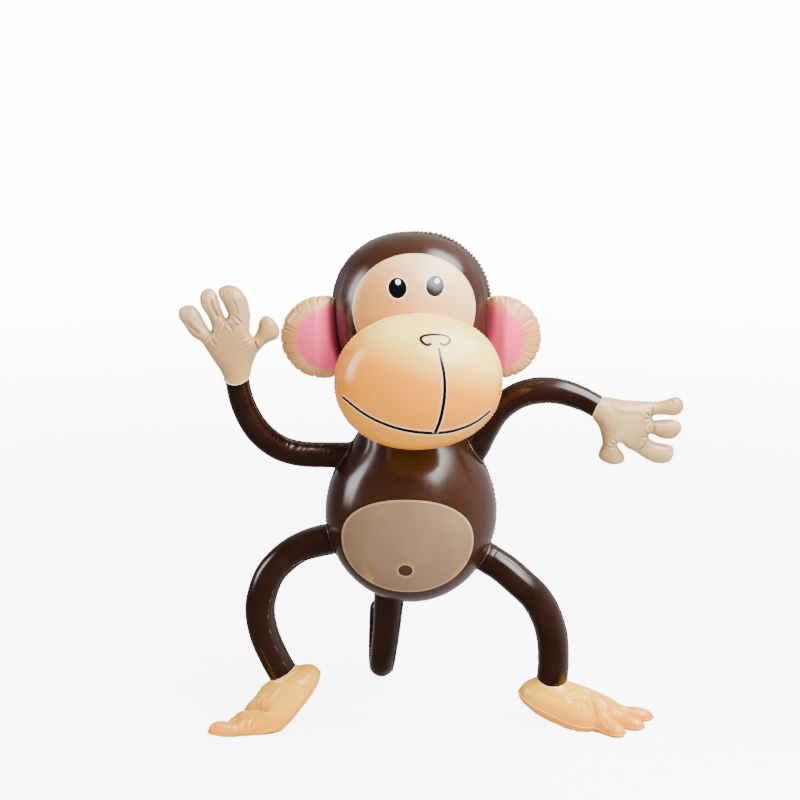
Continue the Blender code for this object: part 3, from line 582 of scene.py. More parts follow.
# each limb's radii, spread evenly from root to tip, a direction that places its two welds, how far they are
# turned, and its route: x, y and z in millimetres, from inside the belly outwards
limbs = {
    "right_arm": ([armRadius] * 6 + [15.8 * mm, 14.6 * mm, 14.2 * mm], (0.0, 0.87, 0.5), 0.0, [
        -86.4, -2.8, 362.5, -110.4, -2.8, 363.5, -135.5, -2.8, 363.5, -170.4, -7.8, 366.5, -198.4, -12.8, 377.5,
        -222.4, -22.8, 401.5, -238.4, -32.8, 434.5, -245.5, -37.8, 467.5, -246.4, -39.8, 483.5]),
    "left_arm": ([armRadius] * 6 + [15.5 * mm, 14.0 * mm, 13.2 * mm], (0.0, 1.0, 0.0), 0.0, [
        36.2, -2.8, 344.8, 54.2, -2.8, 364.8, 67.2, -2.8, 391.8, 81.2, -4.8, 416.8, 100.2, -6.8, 435.8,
        126.2, -12.8, 448.8, 159.2, -17.8, 451.3, 190.2, -22.8, 443, 211.2, -27.8, 432.8, 226.2, -30.8, 425.2]),
    "right_leg": ([legRadius], (0.82, 0.57, 0.0), 0.0, [
        -95.3, -2.8, 254, -125.3, -2.8, 251.9, -162.3, -7.8, 243.8, -186.3, -14.8, 231.5, -207.3, -22.8, 211.1,
        -218.3, -24.8, 184.6, -222.3, -22.8, 158.1, -217.3, -14.8, 123.4, -205.3, -4.8, 88.8, -193.3, -0.8, 64.3,
        -184.3, 0.2, 50]),
    "left_leg": ([legRadius], (0.0, 1.0, 0.0), 0.0, [
        29.6, -2.8, 263.4, 51.6, -2.8, 243.6, 73.6, -3.8, 225.9, 93.6, -10.8, 214.9, 115.6, -17.8, 197.3,
        136.6, -20.8, 177.4, 151.6, -19.8, 151, 160.1, -14.8, 120.1, 162.6, -8.8, 84.9, 161.6, -4.8, 58.4,
        160.6, -3.8, 43]),
    "tail": ([23.5 * mm, 21.5 * mm, 19 * mm, 17.5 * mm, 16.2 * mm, 14 * mm], (1.0, 0.0, 0.0), math.radians(58), [
        -51.8, 60.3, 216.2, -51.8, 72.3, 180.2, -54.5, 89.3, 141.2, -57.3, 100.3, 100.2, -62.3, 112.3, 53.2,
        -65.3, 129.3, 31.2, -67.3, 154.3, 34.2, -68.3, 169.3, 61.2, -68.3, 176.3, 98.2]),
}
limbPaths = {name: softened(denseCurve(inRows(row[3], 3), tube["step"]), 30) for name, row in limbs.items()}
# the limbs are coloured a darker brown than the body's film
limbFilm = vinylFilm("glossy dark brown PVC film", "limb", [("limbLight", "smudge", 0.3, 0.7), ("brownWeld", "weld")])


def limbRoot(name):
    # where the limb's route leaves the body, which way it points there and its radius
    path = limbPaths[name]
    out = int(np.argmax(outsideBody(path) > 0))
    return path[out], unit(path[out + 4] - path[out - 4]), limbs[name][0][:2][-1]


def pathFrame(path, reference):
    # direction of a path at each point, and two directions square to it, the first one to the reference too
    tangent = unit(np.gradient(path, axis=0))
    side = unit(np.cross(tangent, reference))
    return tangent, side, np.cross(side, tangent)


def rays(side, up, angle):
    # directions out of a path at each angle: cosine of it sideways, sine upwards
    return side[:, None] * np.cos(angle)[:, None] + up[:, None] * np.sin(angle)[:, None]


def rootFlange(path, side, up, radius, seed):
    # scalloped ring of film that lies on the body round a limb: found where the tube leaves the skin
    angle = fullTurn(140)
    skin = path[:, None, :] + rays(side, up, angle) * (radius + 0.6 * mm)
    out, column = outsideBody(skin), np.arange(len(angle))
    leaves = np.argmax(out > 0, axis=0)
    before, after = out[leaves - 1, column], out[leaves, column]
    share = (-before / (after - before))[:, None]
    ring = softened(skin[leaves - 1, column] * (1 - share) + skin[leaves, column] * share, 2, closed=True)
    step = 0.5 * mm * np.eye(3)
    normal = unit(joined(*(outsideBody(ring + axis) - outsideBody(ring - axis) for axis in step)))
    away = unit(ring - ring.mean(axis=0))
    outward = unit(away - np.sum(away * normal, axis=1)[:, None] * normal)
    strip = weldStrip(ring + normal * tube["flangeLift"], normal, outward, tube["flange"], pitch=4.4 * mm,
                      scallop=0.3, waviness=0.25 * mm, seed=seed, shade=0.2)
    return [strip, weldBead(ring + normal * 0.5 * mm, normal, outward, tube["rootBead"], shade=0.15)]


def makeLimb(name, seed):
    # a tube: its route plus its radius in every direction. Lifts are added to the radius: folds along the inner
    # side of a bend (one less the size of a sine, by the bend), fine sines beside the welds and a flared collar
    radii, reference, twist, _ = limbs[name]
    path = limbPaths[name]
    radii = np.interp(np.linspace(0, 1, len(path)), np.linspace(0, 1, len(radii)), radii)
    if name == "tail":  # its tip is rounded off
        turn = np.radians(np.linspace(8, 86, 14))
        path = np.vstack([path, path[-1] + unit(path[-1] - path[-4]) * radii[-1] * np.sin(turn)[:, None]])
        radii = np.r_[radii, radii[-1] * np.cos(turn)]
    tangent, side, up = pathFrame(path, reference)
    side, up = side * math.cos(twist) + up * math.sin(twist), up * math.cos(twist) - side * math.sin(twist)
    run = runLength(path)
    bend = joined(*(np.convolve(row, np.ones(15) / 15, mode="same") for row in np.gradient(tangent, run, axis=0).T))
    angle = fullTurn(tube["sides"])
    ray = rays(side, up, angle)
    inner = np.clip(np.einsum("ijk,ik->ij", ray, bend) * tube["bendGain"], 0, tube["bendMost"])
    phase = pi * run / tube["ripplePitch"] + 1.6 * wobble(run / (16 * mm), seed)
    crest = (1 - np.abs(np.sin(phase))) ** 1.4 * (0.6 + 0.4 * wobble(run / (11 * mm), seed + 1))
    shift = 0.35 * np.sin(angle * 3 + run[:, None] / (9 * mm))
    lift = -tube["rippleDepth"] * inner ** 1.5 * crest[:, None] * (1 + shift)
    beside = np.abs(np.sin(angle)) * radii[:, None]
    fine = np.sin(2 * pi * run / tube["crimpPitch"] + 3 * wobble(run / (25 * mm), seed + 2))
    fine = fine * (0.6 + 0.4 * wobble(run / (30 * mm), seed + 5))
    lift = lift + tube["crimpDepth"] * fine[:, None] * np.exp(-beside / tube["crimpReach"])
    flare = bump(outsideBody(path[:, None, :] + ray * radii[:, None, None]) - 0.5 * mm, tube["flareWide"])
    lift = lift + flare * tube["collar"] * (1 + 0.4 * np.sin(tube["collarFolds"] * angle + seed))
    skins = [gridShell(path[:, None, :] + ray * (radii[:, None] + lift)[..., None], weld=0.0)]
    skins += rootFlange(path, side, up, radii[0], seed + 3)
    # painted highlights: the welds are coloured paler in short broken runs, standing in for light caught on them
    out = outsideBody(path) > -4 * mm
    glintDashes = smoothStep(wobble(run[out] / tube["dashPitch"], seed + 9), 0.1, 0.5)[:, None]
    for sign in (1, -1):
        skins.append(weldStrip((path + side * sign * radii[:, None])[out], up[out], side[out] * sign, tube["fin"],
                               closed=False, pitch=4.6 * mm, scallop=0.3, waviness=0.3 * mm, seed=seed + 7 + sign,
                               shade=tube["weldShade"] + tube["dash"] * glintDashes))
    makePiece(name + "_film", skins, limbFilm)


def insideOutline(points, outline):
    # odd number of outline runs crossed by a ray to the right
    x, z = points[:, 0:1], points[:, 1:2]
    (x1, z1), (x2, z2) = outline.T, np.roll(outline, -1, axis=0).T
    crosses = ((z1 > z) != (z2 > z)) & (x < (x2 - x1) * (z - z1) / np.where(z2 == z1, 1e-12, z2 - z1) + x1)
    return crosses.sum(axis=1) % 2 == 1


def flatSheet(outline, spacing):
    # outline and an even lattice of staggered rows inside it, joined into triangles
    low, high = outline.min(axis=0), outline.max(axis=0)
    rows = [np.arange(low[0] + k % 2 * spacing / 2, high[0], spacing)
            for k in range(math.ceil((high[1] - low[1]) / (spacing * 0.866)))]
    lattice = np.vstack([joined(row, low[1] + k * spacing * 0.866) for k, row in enumerate(rows)])
    lattice = lattice[insideOutline(lattice, outline)]
    gap = np.min(np.linalg.norm(lattice[:, None, :] - outline[None], axis=2), axis=1)
    flat = np.vstack([outline, lattice[gap > spacing * 0.62]])
    made = delaunay_2d_cdt([Vector(p) for p in flat], [], [list(range(len(outline)))], 1, 1e-7)
    return np.array([tuple(p) for p in made[0]]), np.array([face for face in made[2] if len(face) == 3])


def blownHeight(points, tris, held):
    # height of an inflated skin: the sag of a membrane held at the weld (solved on the triangles by
    # conjugate gradients), doubled and rooted, so that a finger's section comes out round
    count = len(points)
    a, b, c = (points[tris[:, k]] for k in range(3))
    area = np.abs((b[:, 0] - a[:, 0]) * (c[:, 1] - a[:, 1]) - (b[:, 1] - a[:, 1]) * (c[:, 0] - a[:, 0])) / 2
    weights = [np.einsum("ij,ij->i", p - r, q - r) / np.maximum(4 * area, 1e-12)
               for p, q, r in ((a, b, c), (b, c, a), (c, a, b))]
    weights = np.concatenate(weights)
    start, end = np.vstack([tris[:, [0, 1]], tris[:, [1, 2]], tris[:, [2, 0]]]).T
    free, sag = ~held, np.zeros(count)
    rest = np.where(free, np.bincount(tris.ravel(), np.repeat(area / 3, 3), count), 0.0)
    step, size = rest.copy(), rest @ rest
    for _ in range(900):
        pull = weights * (step[start] - step[end])
        pushed = np.where(free, np.bincount(start, pull, count) - np.bincount(end, pull, count), 0.0)
        gain = size / (step @ pushed)
        sag += gain * step
        rest -= gain * pushed
        newSize = rest @ rest
        if newSize < 1e-22:
            break
        step, size = rest + newSize / size * step, newSize
    return np.sqrt(2 * np.clip(sag, 0, None))


def blown(outline, openEnd, shape, creases, place, seed):
    # two flat sheets welded round the edge and blown up. The first openEnd points of the outline lie on the
    # open cuff; place carries flat points and heights into the room. The height is the membrane's, flattened
    # to a limit as a fourth-power mean, plus sines along the weld and bell curves across each crease
    points, tris = flatSheet(outline, shape["spacing"])
    n, number = len(outline), np.arange(len(points))
    held = number < n
    held[1:max(openEnd - 1, 1)] = False
    height, limit = blownHeight(points, tris, held) * shape["fullness"], shape["limit"]
    if openEnd:
        nearCuff = bump(np.linalg.norm(points - outline[:openEnd].mean(axis=0), axis=1), shape["cuffWide"])
        height, limit = height * (1 + shape["cuffGain"] * nearCuff), limit * (1 + nearCuff)
    height = height / (1 + (height / limit) ** 4) ** 0.25
    seam = outline[openEnd:]
    nearest = np.argmin(np.linalg.norm(points[:, None, :] - seam[None], axis=2), axis=1)
    fromWeld = np.linalg.norm(points - seam[nearest], axis=1)
    run = runLength(outline)[openEnd:][nearest]
    fold = np.sin(2 * pi * run / shape["foldPitch"] + 2.5 * wobble(run / (14 * mm), seed))
    fold = fold * (0.55 + 0.45 * wobble(run / (23 * mm), seed + 1))
    height = height + shape["foldDepth"] * fold * np.exp(-fromWeld / shape["foldReach"]) \
        * smoothStep(fromWeld, 0, 1.5 * mm)
    # how deep in a crease each point lies, kept as the fold mark, which the hand and foot films use to paint shade into
    # the creases
    valley = np.zeros(len(points))
    for depth, wide, *line in creases:
        gap, where, _, _ = lineDistance(points, denseCurve(inRows(line), 2 * mm))
        ends, wide = smoothStep(np.minimum(where, 1 - where), 0.0, 0.25), wide * mm
        height = height + ends * depth * mm * shape["creaseGain"] * (0.5 * bump(gap - 2 * wide, wide) - bump(gap, wide))
        valley = np.maximum(valley, ends * min(depth, 1.6) / 1.6 * bump(gap, 0.8 * wide))
    height = np.where(held, 0.0, np.maximum(height, 0.05 * mm))
    (front, normal), (rear, _) = place(points, height, 1), place(points, height, -1)
    # the two sheets share the weld; only the cuff's points and the inner ones are doubled
    split = ~held
    rearNumber = number.copy()
    rearNumber[split] = len(points) + np.arange(split.sum())
    both, allPoints = np.r_[number, number[split]], np.vstack([front, rear[split]])
    edge, across = place(outline, np.zeros(n), 1)[0], normal[:n]
    fin = weldStrip(edge[openEnd:], across[openEnd:], outwardOf(edge, across)[openEnd:], shape["fin"],
                    closed=not openEnd, thickness=0.45 * mm, pitch=4.2 * mm, scallop=0.25, waviness=0.3 * mm,
                    seed=seed + 3, shade=0.7)
    faces, quads, beads = [tris, rearNumber[tris][:, ::-1]], (), []
    if openEnd:  # the cuff's rim is closed, with a bead round it
        cuff, far = number[:openEnd], rearNumber[:openEnd]
        quads = joined(cuff[:-1], cuff[1:], far[1:], far[:-1])
        faces += [quads[:1, [0, 1, 2]], quads[-1:, [0, 1, 3]]]
        quads = quads[1:-1]
        ring = np.vstack([allPoints[cuff], allPoints[far[::-1]]])
        ring = softened(denseCurve(ring[::2], shape["line"], closed=True), 4, closed=True)
        away = unit(ring - ring.mean(axis=0))
        heading = unit(np.roll(ring, -1, axis=0) - np.roll(ring, 1, axis=0))
        beads = [weldBead(ring, unit(np.cross(heading, away)), away, shape["cuffBead"])]
    skin = shell(allPoints, quads, np.vstack(faces), fold=valley[both], weld=np.zeros(len(both)))
    return [skin, fin, *beads], front[split], np.arange(len(both)) >= len(points)


handShape = {"spacing": 1.35 * mm, "fullness": 0.92, "limit": 19 * mm, "foldDepth": 0.5 * mm, "foldPitch": 6.5 * mm,
             "foldReach": 4.5 * mm, "fin": 1.2 * mm, "creaseGain": 1.5, "cuffWide": 24 * mm, "cuffGain": 0.13,
             "cuffBead": 0.7 * mm, "line": 1.2 * mm, "bendReach": 50 * mm}
# painted shade: the film is coloured darker along the valleys of the creases
handFilm = vinylFilm("glossy beige PVC film", "hand", [
    ("handLight", "smudge", 0.35, 0.7), ("handCreaseShade", "fold", 0.15, 1.0, 0.6), ("handWeld", "weld")], wave=0.12)
# outlines as x and z in millimetres, the cuff first; depth of the wrist and the palm; then the folds pressed
# into the film: depth (below zero for a ridge), width and the line
rightHand = {
    "wristY": -38.5 * mm, "palmY": -42.0 * mm,
    "cuff": [-229.6, 474.5, -236.5, 469.9, -246, 467.2, -255, 468.2, -262, 472],
    "outline": [
        -264.6, 481.4, -271.6, 492.5, -278, 502.3, -284.5, 513.3, -290.1, 520.4, -301, 528, -309.1, 540.2,
        -315, 548.7, -316.6, 557.2, -313.5, 562.1, -306.2, 564.9, -299, 563.9, -293.7, 559, -289.7, 552,
        -286.2, 544.7, -282.2, 537.4, -278.9, 532.8, -276.3, 532.2, -275, 536.6, -277.6, 547.5, -283, 557.2,
        -288, 565.7, -288.9, 575.4, -286.2, 582.8, -279.4, 586.2, -274.6, 584.5, -270.4, 579.8, -267.9, 571.8,
        -264.9, 562.1, -261.2, 551.8, -258, 548.2, -254.8, 551.2, -254.4, 555.2, -258.3, 563.8, -262.7, 573,
        -265.6, 577.9, -266.3, 583.9, -262.2, 588, -254.2, 590.4, -246, 588.6, -239.4, 583.4, -233.6, 575.1,
        -230.2, 565.6, -228.6, 553.6, -229.2, 542.6, -229.5, 532.9, -227.6, 527.2, -224.1, 524.7, -221, 527.4,
        -217.2, 535.3, -215.2, 544.9, -209.5, 551.3, -202.4, 549.2, -196.7, 543.6, -192.3, 535.3, -192.2, 528.4,
        -195.6, 523.6, -201.3, 521.4, -208.8, 517.6, -216.3, 510.1, -221.4, 502.9, -225.1, 495, -227.8, 485.1],
    "creases": [
        (1.4, 2.2, -276.6, 578.3, -275.1, 567.1, -270.1, 556, -266.2, 546.9),
        (-0.8, 1.7, -286, 570.2, -280, 555, -274.1, 543.8), (1.3, 2.2, -308.8, 547.8, -297.9, 536.7, -289, 528.6),
        (1.2, 1.3, -249.4, 555.5, -243.4, 551.5, -236, 542.8), (1, 1.2, -252.3, 537.8, -245.4, 543.3, -237.5, 541.8),
        (0.9, 1.2, -242.9, 521, -237, 525.1, -230, 525.6), (1, 1.3, -224.6, 523.6, -231, 520.5, -240.5, 515.5),
        (1, 1.2, -223.6, 520.5, -229, 517, -237.5, 509.9), (0.9, 1.2, -222, 518, -226.5, 512.5, -232.5, 505.4),
        (2.4, 1.1, -222.6, 523.3, -219.7, 515.5, -216.9, 507.4),
        (1, 1.5, -276.6, 533.2, -274.1, 522.6, -267.2, 515.5), (0.9, 1.4, -277.6, 532.7, -281, 524.6, -286, 519),
        (1.1, 1.5, -257.8, 547.9, -260.2, 537.8, -266.2, 528.7), (0.9, 1.4, -257, 548.9, -252.3, 540.8, -247, 535),
        (1.1, 1.5, -213.2, 545.8, -215.5, 538, -218.7, 528.7), (1, 1.3, -258.5, 588.4, -260.7, 582, -259.7, 575.3),
        (-0.7, 1.6, -247.4, 580, -241.4, 566.1, -240.4, 554),
    ],
}
leftHand = {
    "wristY": -28.5 * mm, "palmY": -34.0 * mm,
    "cuff": [204.8, 421, 205.6, 427, 208.4, 434, 212.4, 440.4, 217.6, 445.2],
    "outline": [
        223.5, 444.6, 232, 442.9, 245.6, 441.5, 262.7, 440.3, 278, 439.8, 288.2, 439.6, 300.1, 442.5, 310, 445.5,
        317, 441.9, 319.9, 434.4, 317, 427.2, 310.8, 423.7, 300.6, 424.2, 288.7, 424.4, 281.6, 422.9, 280.3, 419,
        284.2, 415.3, 292.3, 416, 304.2, 416.3, 312.3, 414.9, 317.3, 409.7, 317.5, 403.2, 309.8, 394, 301.5, 392.8,
        291.4, 395, 282.8, 399.1, 277.4, 399.2, 276, 395.1, 278.2, 390.8, 284.7, 387.2, 299.7, 383.8, 307, 381.5,
        309, 373.1, 305.2, 364, 297, 360.9, 288.8, 361.4, 280.3, 363.9, 268.1, 371, 259.4, 377.1, 250.8, 381,
        245.2, 386.3, 239.6, 387.8, 236, 384.4, 239.9, 377.7, 244.6, 371.6, 246.1, 365.9, 243.8, 361.4,
        235.4, 359.3, 227, 360.5, 218.6, 364.8, 214.6, 369.9, 216, 376.6, 219.3, 385.4, 218.6, 394.2, 214.5, 408.2,
        208, 416.6],
    "creases": [
        (1.9, 1.5, 281.5, 436.7, 279.6, 428.3, 278.8, 420), (1.1, 1.3, 280.2, 421.5, 276, 424.5, 270.2, 429.4),
        (1.1, 1.3, 279.2, 420.5, 274.5, 421.3, 268.5, 421.1), (1, 1.3, 279.2, 417, 275.5, 415.5, 270.2, 411.8),
        (1.5, 1.5, 280.8, 417.7, 283.1, 409.3, 281.2, 400), (1.1, 1.3, 276.7, 397.5, 273.5, 401, 268.5, 406.9),
        (1.1, 1.3, 275.7, 396, 271.5, 397.3, 265.9, 397.1), (0.9, 1.3, 275.4, 393, 272, 391.5, 266.7, 388.2),
        (1.9, 1.6, 277.8, 394.2, 269.6, 384.9, 261.5, 375), (1.2, 1.3, 237, 386.6, 230.5, 387.5, 224.5, 391),
        (1.1, 1.3, 237, 384, 230, 383, 223.5, 383.5), (0.9, 1.2, 238, 387.5, 234, 391.5, 228, 396),
        (-0.8, 3, 225, 437, 245, 433, 268, 431),
    ],
}


def makeHand(name, hand, seed):
    # blown in an upright plane whose depth eases from the wrist's to the palm's
    cuff, rest = inRows(hand["cuff"]), inRows(hand["outline"])
    cuffLine = denseCurve(cuff, handShape["line"])
    rest = denseCurve(np.vstack([cuff[-1:], rest, cuff[:1]]), handShape["line"])[1:-1]

    def place(flat, height, side):
        # depth from the distance to the cuff, and the height square to the plane
        reach = smoothStep(np.linalg.norm(flat - cuff.mean(axis=0), axis=1), 0, handShape["bendReach"])
        depth = hand["wristY"] + (hand["palmY"] - hand["wristY"]) * reach - side * height
        return joined(flat[:, 0], depth, flat[:, 1]), np.broadcast_to([0.0, -1.0, 0.0], (len(flat), 3))

    outline = softened(np.vstack([cuffLine, rest]), 2, closed=True)
    skins, _, _ = blown(outline, len(cuffLine), handShape, hand["creases"], place, seed)
    makePiece(name + "_film", skins, handFilm)


footShape = {"spacing": 1.35 * mm, "fullness": 0.95, "limit": 29 * mm, "foldDepth": 0.7 * mm, "foldPitch": 7 * mm,
             "foldReach": 5.5 * mm, "fin": 1.1 * mm, "creaseGain": 1.5, "lip": 1.8 * mm, "lipWide": 2.4 * mm,
             "line": 1.25 * mm, "tint": (5 * mm, 42 * mm), "pressed": 1 * mm, "sunk": 0.13 * mm, "ankleBead": 0.85 * mm}
# painted shade: the film is coloured deeper orange low down and over the whole under sheet, and darker along the
# valleys of the creases
footFilm = vinylFilm("glossy orange PVC film", "foot", [
    ("footUnderShade", "underside"), ("footCreaseShade", "fold", 0.15, 1.0, 0.5), ("footWeld", "weld")], wave=0.12)
# outlines on the floor as x and y from under the ankle, in millimetres. Along the foot, from the heel to the
# toes: height of the weld in the middle, its slope up towards the near side, how much fuller the sole is
rightFoot = {
    "leg": "right_leg", "ankle": (-184.3, 0.2), "turn": 197.0, "near": (0.292, -0.956),
    "outline": [
        39, -3, 36, 9, 21, 17, 2, 19, -9, 17, -10.5, 24, -15, 34, -24, 36.5, -33, 33, -36.5, 22, -38.5, 13, -46, 11,
        -55, 10, -62, 4, -62.5, -4, -57, -11, -55, -16, -62, -19.5, -72, -19, -81, -25, -82.5, -34, -76, -40.5,
        -68, -41.5, -72, -43, -88, -44, -100, -48, -106, -58, -99, -66, -86, -67, -60, -62, -38, -58, -20, -53,
        2, -45, 21, -34.5, 34, -20],
    "along": (-45, -35, -22, 0, 20, 38, 55, 65, 81, 106, 118),
    "level": (68, 65.5, 57.5, 40.5, 24.5, 13.5, 8.5, 6.5, 5, 6.5, 6.5),
    "roll": (0.1, 0.1, 0.05, -0.06, -0.17, -0.2, -0.12, -0.1, -0.08, -0.07, -0.05),
    "skew": (-0.3, -0.3, -0.3, -0.3, -0.25, -0.1, 0, 0, -0.1, -0.65, -0.7),
    "creases": [
        (4, 4, -79, -4, -68, -13, -57.8, -22.9, -46, -29, -35.3, -31.7, -17.1, -38.7, -6, -41),
        (-1, 1.8, -10, -20, -24, -18, -36, -26), (-0.9, 1.6, -14, -30, -26, -30, -36, -38),
        (1, 1.6, -54, -15, -46, -14, -36, -8), (1, 1.6, -66, -41, -56, -38, -44, -34),
        (1, 1.6, -38, 14, -32, 8, -22, 4), (0.8, 1.5, -62, -62, -58, -54, -52, -50),
        (0.8, 1.5, -50, -60, -47, -52, -42, -47), (-0.8, 1.6, 24, -8, 18, -14, 8, -18),
    ],
}
leftFoot = {
    "leg": "left_leg", "ankle": (160.6, -3.8), "turn": -15.0, "near": (-0.259, -0.966),
    "outline": [
        -42, 10, -42, -2, -36, -15, -25, -25, -8, -32.5, 8, -38, 24, -44, 38, -48, 48, -45.5, 54, -43, 62, -50,
        72, -62, 82, -67, 91, -63, 94, -53, 88, -43, 77, -30, 76, -26, 88, -31, 103, -40, 113, -41.5, 121, -35,
        119, -26, 106, -16, 93, -8, 91, -4, 104, -6, 121, -9, 132, -5, 137, 2, 131, 11, 118, 14.5, 100, 16, 86, 17,
        76, 21, 56, 25, 32, 27, 10, 29, -14, 31, -31, 24],
    "along": (-50, -20, -6, 13, 27, 41, 56, 75, 95, 140),
    "level": (41.5, 33.5, 29.5, 23, 18, 13.5, 9.5, 6, 5, 4.5),
    "roll": (0.05, -0.08, -0.12, -0.13, -0.13, -0.08, -0.03, -0.02, 0, 0),
    "skew": (-0.2, -0.3, -0.3, -0.3, -0.3, -0.3, -0.25, -0.2, -0.2, -0.2),
    "creases": [
        (3.4, 2.4, 55, -44, 48, -32, 40, -24), (3, 2.2, 77, -27, 66, -18, 54, -11), (1.6, 1.8, 92, -4, 80, -1, 64, 2),
        (-1.1, 2.2, 16, -20, 24, -8, 36, -4, 46, -10, 50, -22), (1, 1.4, 70, -19, 74, -14, 80, -8),
        (1.2, 1.6, 52, -36, 60, -34, 68, -30), (0.9, 1.4, 40, -46, 38, -38, 34, -30),
        (0.9, 1.4, 30, -44, 30, -36, 26, -28), (-1.3, 1.8, -28, -14, -12, -20, 4, -25, 14, -27),
        (1.8, 2, 12, -32, 22, -29, 34, -28, 46, -33, 54, -43), (0.7, 1.8, 104, 4, 114, 2, 126, 2),
    ],
}


def makeFoot(name, foot, seed):
    # blown in a plane that follows the foot's length, with its rows of level, roll and skew averaged over 19
    # places on either side and read at each point
    outline = softened(denseCurve(inRows(foot["outline"]), footShape["line"], closed=True), 3, closed=True)
    heading = np.array([math.cos(math.radians(foot["turn"])), math.sin(math.radians(foot["turn"]))])
    near, ankle, spots = np.array(foot["near"]), inRows(foot["ankle"])[0], np.array(foot["along"]) * mm
    dense = np.linspace(spots[0] - 20 * mm, spots[-1] + 20 * mm, 240)
    rows = [np.convolve(np.pad(np.interp(dense, spots, foot[key]), 9, mode="edge"), np.ones(19) / 19, "valid")
            for key in ("level", "roll", "skew")]
    rows[0] *= mm
    rows.append(np.gradient(rows[0], dense))
    legPath = limbPaths[foot["leg"]]
    legTangent, legSide, legUp = pathFrame(legPath, (0.0, 1.0, 0.0))

    def fromLeg(points):
        # nearest point of the leg's middle line to each point, and the distance to it
        gap = np.linalg.norm(points[:, None, :] - legPath[None, -70:], axis=2)
        return len(legPath) - 70 + gap.argmin(axis=1), gap.min(axis=1)

    def place(flat, height, side):
        # the skins stand square to the tilted weld, a lip rises round the leg, and the floor presses the sole
        # flat: the logarithm of one plus the exponential of the height
        level, roll, skew, tilt = (np.interp(flat @ heading, dense, row) for row in rows)
        lean = tilt[:, None] * heading + roll[:, None] * near
        normal = unit(np.c_[-lean, np.ones(len(flat))])
        reach = side * height * (1 - side * skew)
        points = np.c_[flat + ankle, level + roll * (flat @ near)] + normal * reach[:, None]
        if side > 0:
            nearest, distance = fromLeg(points)
            lip = bump(np.maximum(distance - legRadius - 0.5 * mm, 0), footShape["lipWide"]) * (height > 1 * mm)
            points = points - legTangent[nearest] * (lip * footShape["lip"])[:, None]
        low, soft = points[:, 2], footShape["pressed"]
        low = np.where(low < 2 * soft, soft * np.logaddexp(0, low / soft), low)
        points[:, 2] = np.maximum(low - footShape["sunk"], 0)
        return points, normal

    def ankleRing(upperPoints):
        # bead where the leg is welded on: its height round the leg is a short Fourier sum through the skin
        nearest, distance = fromLeg(upperPoints)
        close = np.abs(distance - legRadius - 1.2 * mm) < 1.8 * mm
        nearest, away = nearest[close], upperPoints[close] - legPath[nearest[close]]
        angle = np.arctan2(np.sum(away * legUp[nearest], axis=1), np.sum(away * legSide[nearest], axis=1))

        def terms(a):
            # one, and the cosine and sine of one, two and three times the angle
            return np.stack([np.ones_like(a)] + [f(k * a) for k in (1, 2, 3) for f in (np.cos, np.sin)], axis=1)

        around = fullTurn(150)
        at = np.clip(terms(around) @ np.linalg.lstsq(terms(angle), nearest.astype(float), rcond=None)[0],
                     0, len(legPath) - 1)
        middle, sideways, upwards, down = (joined(*(np.interp(at, np.arange(len(legPath)), row) for row in grid.T))
                                           for grid in (legPath, legSide, legUp, legTangent))
        ray = unit(sideways * np.cos(around)[:, None] + upwards * np.sin(around)[:, None])
        ring = middle + ray * (legRadius + 0.5 * mm) - down * 0.4 * mm
        return weldBead(ring, unit(down), ray, footShape["ankleBead"])

    skins, upperPoints, isRear = blown(outline, 0, footShape, foot["creases"], place, seed)
    # painted shade: deeper orange below about four centimetres, fully below five millimetres, and over the whole under
    # sheet
    tint = 1 - smoothStep(skins[0]["points"][:, 2], *footShape["tint"])
    skins[0]["marks"]["underside"] = np.maximum(isRear, tint)
    makePiece(name + "_film", [*skins, ankleRing(upperPoints)], footFilm)


valveLow, valveHigh = np.array(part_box("valve"))
valve = {
    "columns": 96, "face": valveHigh[1] - 2.2 * mm, "step": 0.35 * mm,
    # radius, and height over the film: flange, groove, plug and pull tab
    "profile": [11.0, -4.0, 11.0, -0.6, 10.6, 0.5, 9.8, 0.9, 8.2, 0.9, 7.6, 0.2, 7.0, 0.2, 6.6, 1.3, 6.0, 1.9,
                3.4, 1.9, 2.9, 1.5, 1.2, 1.45, 0.25, 1.45],
}


def makeValve():
    # one profile of radius and height turned round the valve's axis
    radius, height = softened(denseCurve(inRows(valve["profile"]), valve["step"]), 2).T[..., None]
    angle = fullTurn(valve["columns"])
    middle = (valveLow + valveHigh) / 2
    points = joined(middle[0] + radius * np.cos(angle), valve["face"] + height, middle[2] + radius * np.sin(angle))
    makePiece("valve_film", [gridShell(points, weld=0.0)], brownFilm)


makeBody([limbRoot(name) for name in limbs])
makeMuzzle()
makeEar("right_ear", -1, 41)
makeEar("left_ear", 1, 51)
for seed, name in enumerate(limbs, 61):
    makeLimb(name, seed)
makeHand("right_hand", rightHand, 71)
makeHand("left_hand", leftHand, 72)
makeFoot("right_foot", rightFoot, 81)
makeFoot("left_foot", leftFoot, 82)
makeValve()

view = {"distance": 2.6, "elevation": 12, "target": (axisX - 14 * mm, axisY, 0.4359), "lens": 91.0}
studio = {"wall": 7.0, "bend": 2.0, "wallTop": 8.0, "paperGlow": (6.5, 15.0), "roomSide": (0.6, 0.75, 0.1),
          "roomGlow": (0.08, 0.7), "aim": (0, 0, 0.38)}
# stand: azimuth (0 is the camera's side, 90 the picture's right), elevation, distance, width, height, radiance; the two
# softboxes stand where the bands and glows on belly, head and muzzle put them, and the others aren't mirrored
lights = {
    "left_strip": {"stand": (-90, 21, 1.88, 0.62, 1.85, 10.0), "colour": "leftLight", "soft": (0.08, 0.75)},
    "right_softbox": {"stand": (65, 54, 1.95, 3.1, 1.8, 13.0), "lean": 16, "soft": (0.4, 0.6), "aim": (0, 0, 0.5)},
    "front_fill": {"stand": (20, 20, 3.0, 2.0, 2.0, 9.0)},
    "floor_bounce": {"stand": (0, -90, 0.378, 2.4, 2.4, 1.2)},
}


